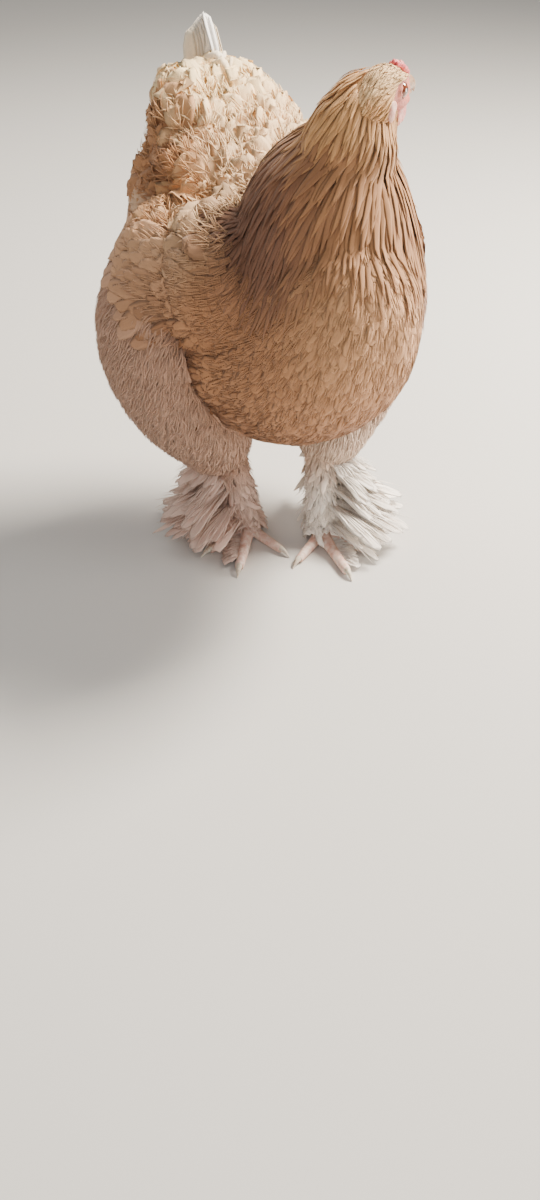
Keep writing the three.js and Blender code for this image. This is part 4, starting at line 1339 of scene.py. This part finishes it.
def toe_rows(side):
    """Feathers along the outer side of the outer and middle toes."""
    sign, turn = SIDES[side], LEGS[side]["turn"]
    rows = []
    for toe, first, last, many, reach in TOE_ROWS:
        angle, length, radius = TOES[toe]
        for i in range(many):
            share = i / (many - 1)
            way = sign * (turn + math.radians(angle + mix(74, 48, share) + rng.uniform(-5, 5)))
            out = heading(math.sin(way), math.cos(way), 0.16)
            root = toe_place(side, angle, length * mix(first, last, share), radius * 1.3)
            tint = BOOT_LIT_AND_SHADED[side] * rng.uniform(0.92, 1.04)
            long = reach * mix(1, 0.72, share)
            rows.append((root, out, Vector((0, 0, 1)), long, 12, -radius - 1, tint * 0.75, tint))
    return rows


def boot(side):
    """The feathers of shank and toes, with fine strands along each."""
    rows = shank_rows(side) + toe_rows(side)
    strands = []
    for root, lie, facing, length, _, bend, root_tint, tint in rows:
        for _ in range(BOOT_STRANDS):
            way = turned(lie, rng.uniform(-11, 11))
            size = rng.uniform(0.55, 1.08)
            start = root + way.normalized() * (length * size * 0.35 * MM)
            fine = rng.uniform(1.4, 2.4)
            long, droop = length * size * 0.66, bend * size * 0.7
            strands.append((start, way, facing, long, fine, droop, root_tint, tint))
    fan_mesh(f"boot_wisps_{side}", strands, FINE, WISPS, DOWNY_FEATHER, "plumage_cream")
    style = {"thick": 0.25, "cup": 0.08, "ragged": 0.25, "sweep": 0.6, "frill": 4.0, "columns": 7}
    fan_mesh(f"boot_feathers_{side}", rows, QUILL, style, SMOOTH_FEATHER, "plumage_cream", f"shank_{side}")


# The shank's two coats: name, spacing, height of the tips, style and strands at each place.
SHANK_COATS = [
    ("shank_fluff", 3.6, 10.0, {
        "profile": OVATE, "width": 9.0, "stray": 14, "roll": 12, "ragged": 0.2, "frill": 2.0, "thick": 0.3,
        "tone": 0.03, "root_shade": 0.85,
    }, 1),
    ("shank_wisps", 4.6, 12.0, {
        **WISPS, "width": 1.6, "stray": 16, "roll": 25, "tone": 0.04, "root_shade": 0.9,
    }, 8),
]


def shank_fluff(side):
    """Soft feathers all round the shank, down to the root of the toes, with loose wisps among them."""
    tree = surface_tree(leg_skins[side])
    start, out = skin_points(leg_skins[side], 4.0, 5.0)
    up = own_millimetres(start)[2]
    chosen = np.flatnonzero((up > 27) & (np.abs(out[:, 2]) < 0.8))
    way = SIDES[side] * (LEGS[side]["turn"] + math.radians(105))
    outer_way = np.array(heading(math.sin(way), math.cos(way), 0))
    for name, spacing, lift, style, strands in SHANK_COATS:
        rows = np.repeat(chosen[thin_out(start[chosen], spacing)], strands)
        height = up[rows]
        outer = ramp(-0.3, 1, out[rows] @ outer_way)
        swell = 14 * outer * ramp(30, 60, height) * ramp(116, 96, height)
        style = {**style, "length": 26 + 12 * outer, "lift": lift + swell}
        lie = along_surface(rows_of((0.0, 0.0, -1.0), len(rows)), out[rows])
        tints = blend(rows_of(BOOT_LIT_AND_SHADED[side], len(rows)), SHANK_TOP_LIT_AND_SHADED[side], ramp(70, 125, height))
        spot = unwrap(start[rows], *(shank_at(side, level) for level in (60, 20, 140)))
        coat(
            f"{name}_{side}", tree, start[rows], out[rows], lie, tints, style, spot,
            DOWNY_FEATHER, "plumage_cream",
        )


tail()
for side in SIDES:
    wing(side)
    boot(side)
    shank_fluff(side)


# Head


def bare_face(aside, ahead, up):
    """Where the head is bare: round the eye, the base of the bill and down to the wattles."""
    cheek = (((ahead - 9) / 17) ** 2 + ((up + 3.5) / 14.5) ** 2 < 1) & (np.abs(aside) > 4)
    return cheek | (ahead > 21) | ((ahead > 4) & (up < -12) & (np.abs(aside) < 9))


def face_colour(points):
    aside, ahead, up = head_millimetres(points)
    pink = blend(rows_of(FACE_PINK, len(up)), FACE_ROSE, ramp(0, -14, up) * 0.6 + ramp(6, 11, up) * 0.5)
    return np.where(bare_face(aside, ahead, up)[:, None], pink, HEAD_GOLD * 0.62)


def head_lies(ahead, up, normals):
    """Back over the crown, down the cheeks, and back and down behind the head."""
    crown, cheek, nape = (
        np.array(HEAD_MATRIX.to_3x3() @ Vector(way)) for way in ((0, 1, -0.25), (0, 0.45, -1), (0, 1, -0.7))
    )
    lies = blend(rows_of(crown, len(up)), cheek, ramp(8, -18, up))
    return along_surface(blend(lies, nape, ramp(-6, -26, ahead)), normals)


def head_feathers():
    """Short feathers over crown and cheeks that grow longer towards the nape."""
    spacing = 1.9
    start, out = skin_points(face, spacing, 6.0)
    aside, ahead, up = head_millimetres(start)
    inside = (aside / (16.7 - HEAD_COAT_DEPTH)) ** 2 + ((ahead + 3) / 24) ** 2 + ((up - 1) / 17) ** 2 < 1
    chosen = np.flatnonzero(~bare_face(aside, ahead, up) & ~inside)
    chosen = chosen[thin_out(start[chosen], spacing)]
    start, out, ahead, up = start[chosen], out[chosen], ahead[chosen], up[chosen]
    tints = blend(rows_of(HEAD_GOLD, len(up)), HACKLE_GOLD, 0.7 * ramp(4, -22, up))
    # The lighter gold on top of the crown is painted light where the sun falls on it.
    tints = blend(tints, CROWN_SUNLIT_GOLD, ramp(0, 12, up))
    rear = ramp(16, -30, ahead)
    style = {
        "profile": LANCE, "length": mix(8.0, 24, np.maximum(rear, ramp(-4, -16, up))),
        "width": mix(2.8, 4.6, rear), "lift": mix(1.3, 3.4, rear), "root_lift": 0.5, "stray": 5, "roll": 3,
        "tone": 0.03, "thick": 0.15, "columns": 3, "root_shade": 0.85, "sweep": 0.6,
    }
    spot = unwrap(start, on_head(0, 0, 0), on_head(0, 40, 0), on_head(0, -45, 0))
    coat(
        "head_feathers", face_tree, start, out, head_lies(ahead, up, out), tints, style, spot,
        SILKY_FEATHER, "plumage_head",
    )


def beak(half):
    """Half of the bill: a curved horn bar, narrow-ridged above, broader below."""
    form, many = BEAK[half], 28
    places = [on_head(*p) for p in samples([(0, *p) for p in form["line"]], many)]
    made = tube("beak_half", places, sizes(form["radii"], many), 16)
    edit_all(
        made, bpy.ops.transform.resize, value=form["squash"], orient_matrix=HEAD_MATRIX.to_3x3(),
        orient_type="LOCAL", center_override=on_head(0, BEAK_ROOT, -4),
    )
    keep(fuse(f"{half}_beak", [made], voxel=0.45, relax=3), BEAK_HORN, "horn", f"beak_{half}")


def comb():
    """Three low rows of peas that rise and fall from the bill to the crown, the middle row highest."""
    peas = []
    for row in (-1, 0, 1):
        many = 7 - abs(row)
        for i in range(many):
            forward = 30.5 - i * 3.4 - abs(row) * 2
            base = 8.6 + math.sin(i / (many - 1) * 1.5) * 8.4
            height = 3.8 if row == 0 else 2.5
            size = 1.9 + 0.5 * math.sin((i + 0.6) / many * math.pi)
            side, forward = row * 3.4 + rng.uniform(-0.4, 0.4), forward + rng.uniform(-0.5, 0.5)
            half = (size * 0.9, size * 1.15, height * rng.uniform(0.85, 1.1))
            peas.append(ball(on_head(side, forward, base + height * 0.45), half, HEAD_TURN, 12))
    keep(fuse("pea_comb", peas, voxel=0.5, relax=3), COMB_SKIN, "red_skin", "comb")


def eye(side):
    """A glossy ball whose faces nearest its outward pole are the pupil."""
    sign = SIDES[side]
    bpy.ops.object.select_all(action="DESELECT")
    bpy.ops.mesh.primitive_uv_sphere_add(
        segments=40, ring_count=28, radius=(EYE_RADIUS - 0.1) * MM,
        location=on_head(sign * EYE_PLACE[0], *EYE_PLACE[1:]),
        rotation=(0, math.radians(90) * sign, HEAD_TURN + sign * EYE_AHEAD),
    )
    made = bpy.context.object
    made.name = made.data.name = f"eyeball_{side}"
    outward = (made.matrix_world.to_3x3() @ Vector((0, 0, 1))).normalized()
    centre = made.matrix_world.translation.copy()
    settle(made)
    keep(made, IRIS, "eye", f"eye_{side}")
    made.data.materials.append(PUPIL)
    for polygon in made.data.polygons:
        if (polygon.center - centre).normalized().dot(outward) > math.cos(PUPIL_ANGLE):
            polygon.material_index = 1
    select_only(made)
    bpy.ops.object.shade_smooth()


paint(face, face_colour)
keep(face, FACE_SKIN, "red_skin", "head")
head_feathers()
for half in BEAK:
    beak(half)
comb()
for side, sign in SIDES.items():
    wattle = fuse(f"wattle_skin_{side}", head_balls(WATTLE, sign), voxel=0.6, relax=4)
    keep(wattle, WATTLE_SKIN, "red_skin", f"wattle_{side}")
    earlobe = fuse(f"earlobe_skin_{side}", head_balls(EARLOBE, sign), voxel=0.6, relax=4)
    keep(earlobe, LOBE_SKIN, "red_skin", f"earlobe_{side}")
    eye(side)


# Feet


def claw(side, toe):
    """A curved nail that grows out of the end of a toe."""
    angle, length, radius = TOES[toe]
    many = 18
    heights = sizes([radius * 0.85, radius * 0.95, radius * 0.66, 0.9], many)
    thick = sizes([radius * 0.6, radius * 0.52, radius * 0.34, 0.6], many)
    reaches = [mix(length - 5, length + CLAW_LENGTH, n / (many - 1)) for n in range(many)]
    nail = tube("claw", [toe_place(side, angle, *place) for place in zip(reaches, heights)], thick, 12)
    nail.name = nail.data.name = f"nail_{side}_{toe}"
    select_only(nail)
    bpy.ops.object.shade_smooth()
    keep(nail, CLAW_HORN, "horn", f"claw_{side}_{toe}")


for side in SIDES:
    keep(leg_skins[side], TOE_SKIN, "scaly_skin", f"foot_{side}")
    for toe in TOES:
        claw(side, toe)


# Floor, camera and light


bpy.ops.object.select_all(action="DESELECT")
bpy.ops.mesh.primitive_plane_add(size=60, location=(0, 0, 0))
floor = bpy.context.object
floor.name = "studio_floor"
floor_material, floor_tree, _ = bare_material("floor_paper")
close_surface(floor_tree, {"Base Color": rgba("#D6D3CE"), "Roughness": 0.9})
floor.data.materials.append(floor_material)

PICTURE_HEIGHT, FOCAL_PIXELS, SENSOR = 1200, 1000, 36
CAMERA_TURN, CAMERA_PITCH = math.radians(-32), math.radians(40)
CAMERA_DISTANCE, CAMERA_ASIDE, CAMERA_HEIGHT = 994, 21, 720
right = Vector((math.cos(CAMERA_TURN), math.sin(CAMERA_TURN), 0))
toward = Vector((math.sin(CAMERA_TURN), -math.cos(CAMERA_TURN), 0))
bpy.ops.object.camera_add()
camera = bpy.context.object
camera.name = "photo_camera"
camera_place = toward * CAMERA_DISTANCE - right * CAMERA_ASIDE + Vector((0, 0, CAMERA_HEIGHT))
camera.location = (camera_place + ORIGIN) * MM
view = -toward * math.cos(CAMERA_PITCH) - Vector((0, 0, math.sin(CAMERA_PITCH)))
camera.rotation_euler = view.to_track_quat("-Z", "Y").to_euler()
camera.data.sensor_fit = "VERTICAL"
camera.data.sensor_height = SENSOR
camera.data.lens = FOCAL_PIXELS / PICTURE_HEIGHT * SENSOR
bpy.context.scene.camera = camera

# Square soft lamps that look at the hen's middle: place and size in metres, watts and colour.
LAMPS = {
    "window_left": ((1.5, -0.1, 1.95), 0.8, 205, (1.0, 0.92, 0.8)),
    "soft_front": ((-1.3, -1.7, 1.5), 2.2, 16, (0.98, 0.97, 0.97)),
    "low_left": ((1.35, -0.75, 0.42), 0.7, 28, (1.0, 0.94, 0.86)),
    "soft_behind": ((-0.3, 1.8, 1.5), 1.4, 12, (1.0, 0.95, 0.88)),
}
for name, (place, size, power, colour) in LAMPS.items():
    bpy.ops.object.light_add(type="AREA", location=place)
    lamp = bpy.context.object
    lamp.name = name
    lamp.data.size = size
    lamp.data.energy = power
    lamp.data.color = colour
    lamp.rotation_euler = (Vector((0, 0, 0.25)) - Vector(place)).to_track_quat("-Z", "Y").to_euler()
world = bpy.data.worlds.new("studio")
world.use_nodes = True
world.node_tree.nodes["Background"].inputs["Color"].default_value = (0.97, 0.96, 0.95, 1)
world.node_tree.nodes["Background"].inputs["Strength"].default_value = 0.36
bpy.context.scene.world = world
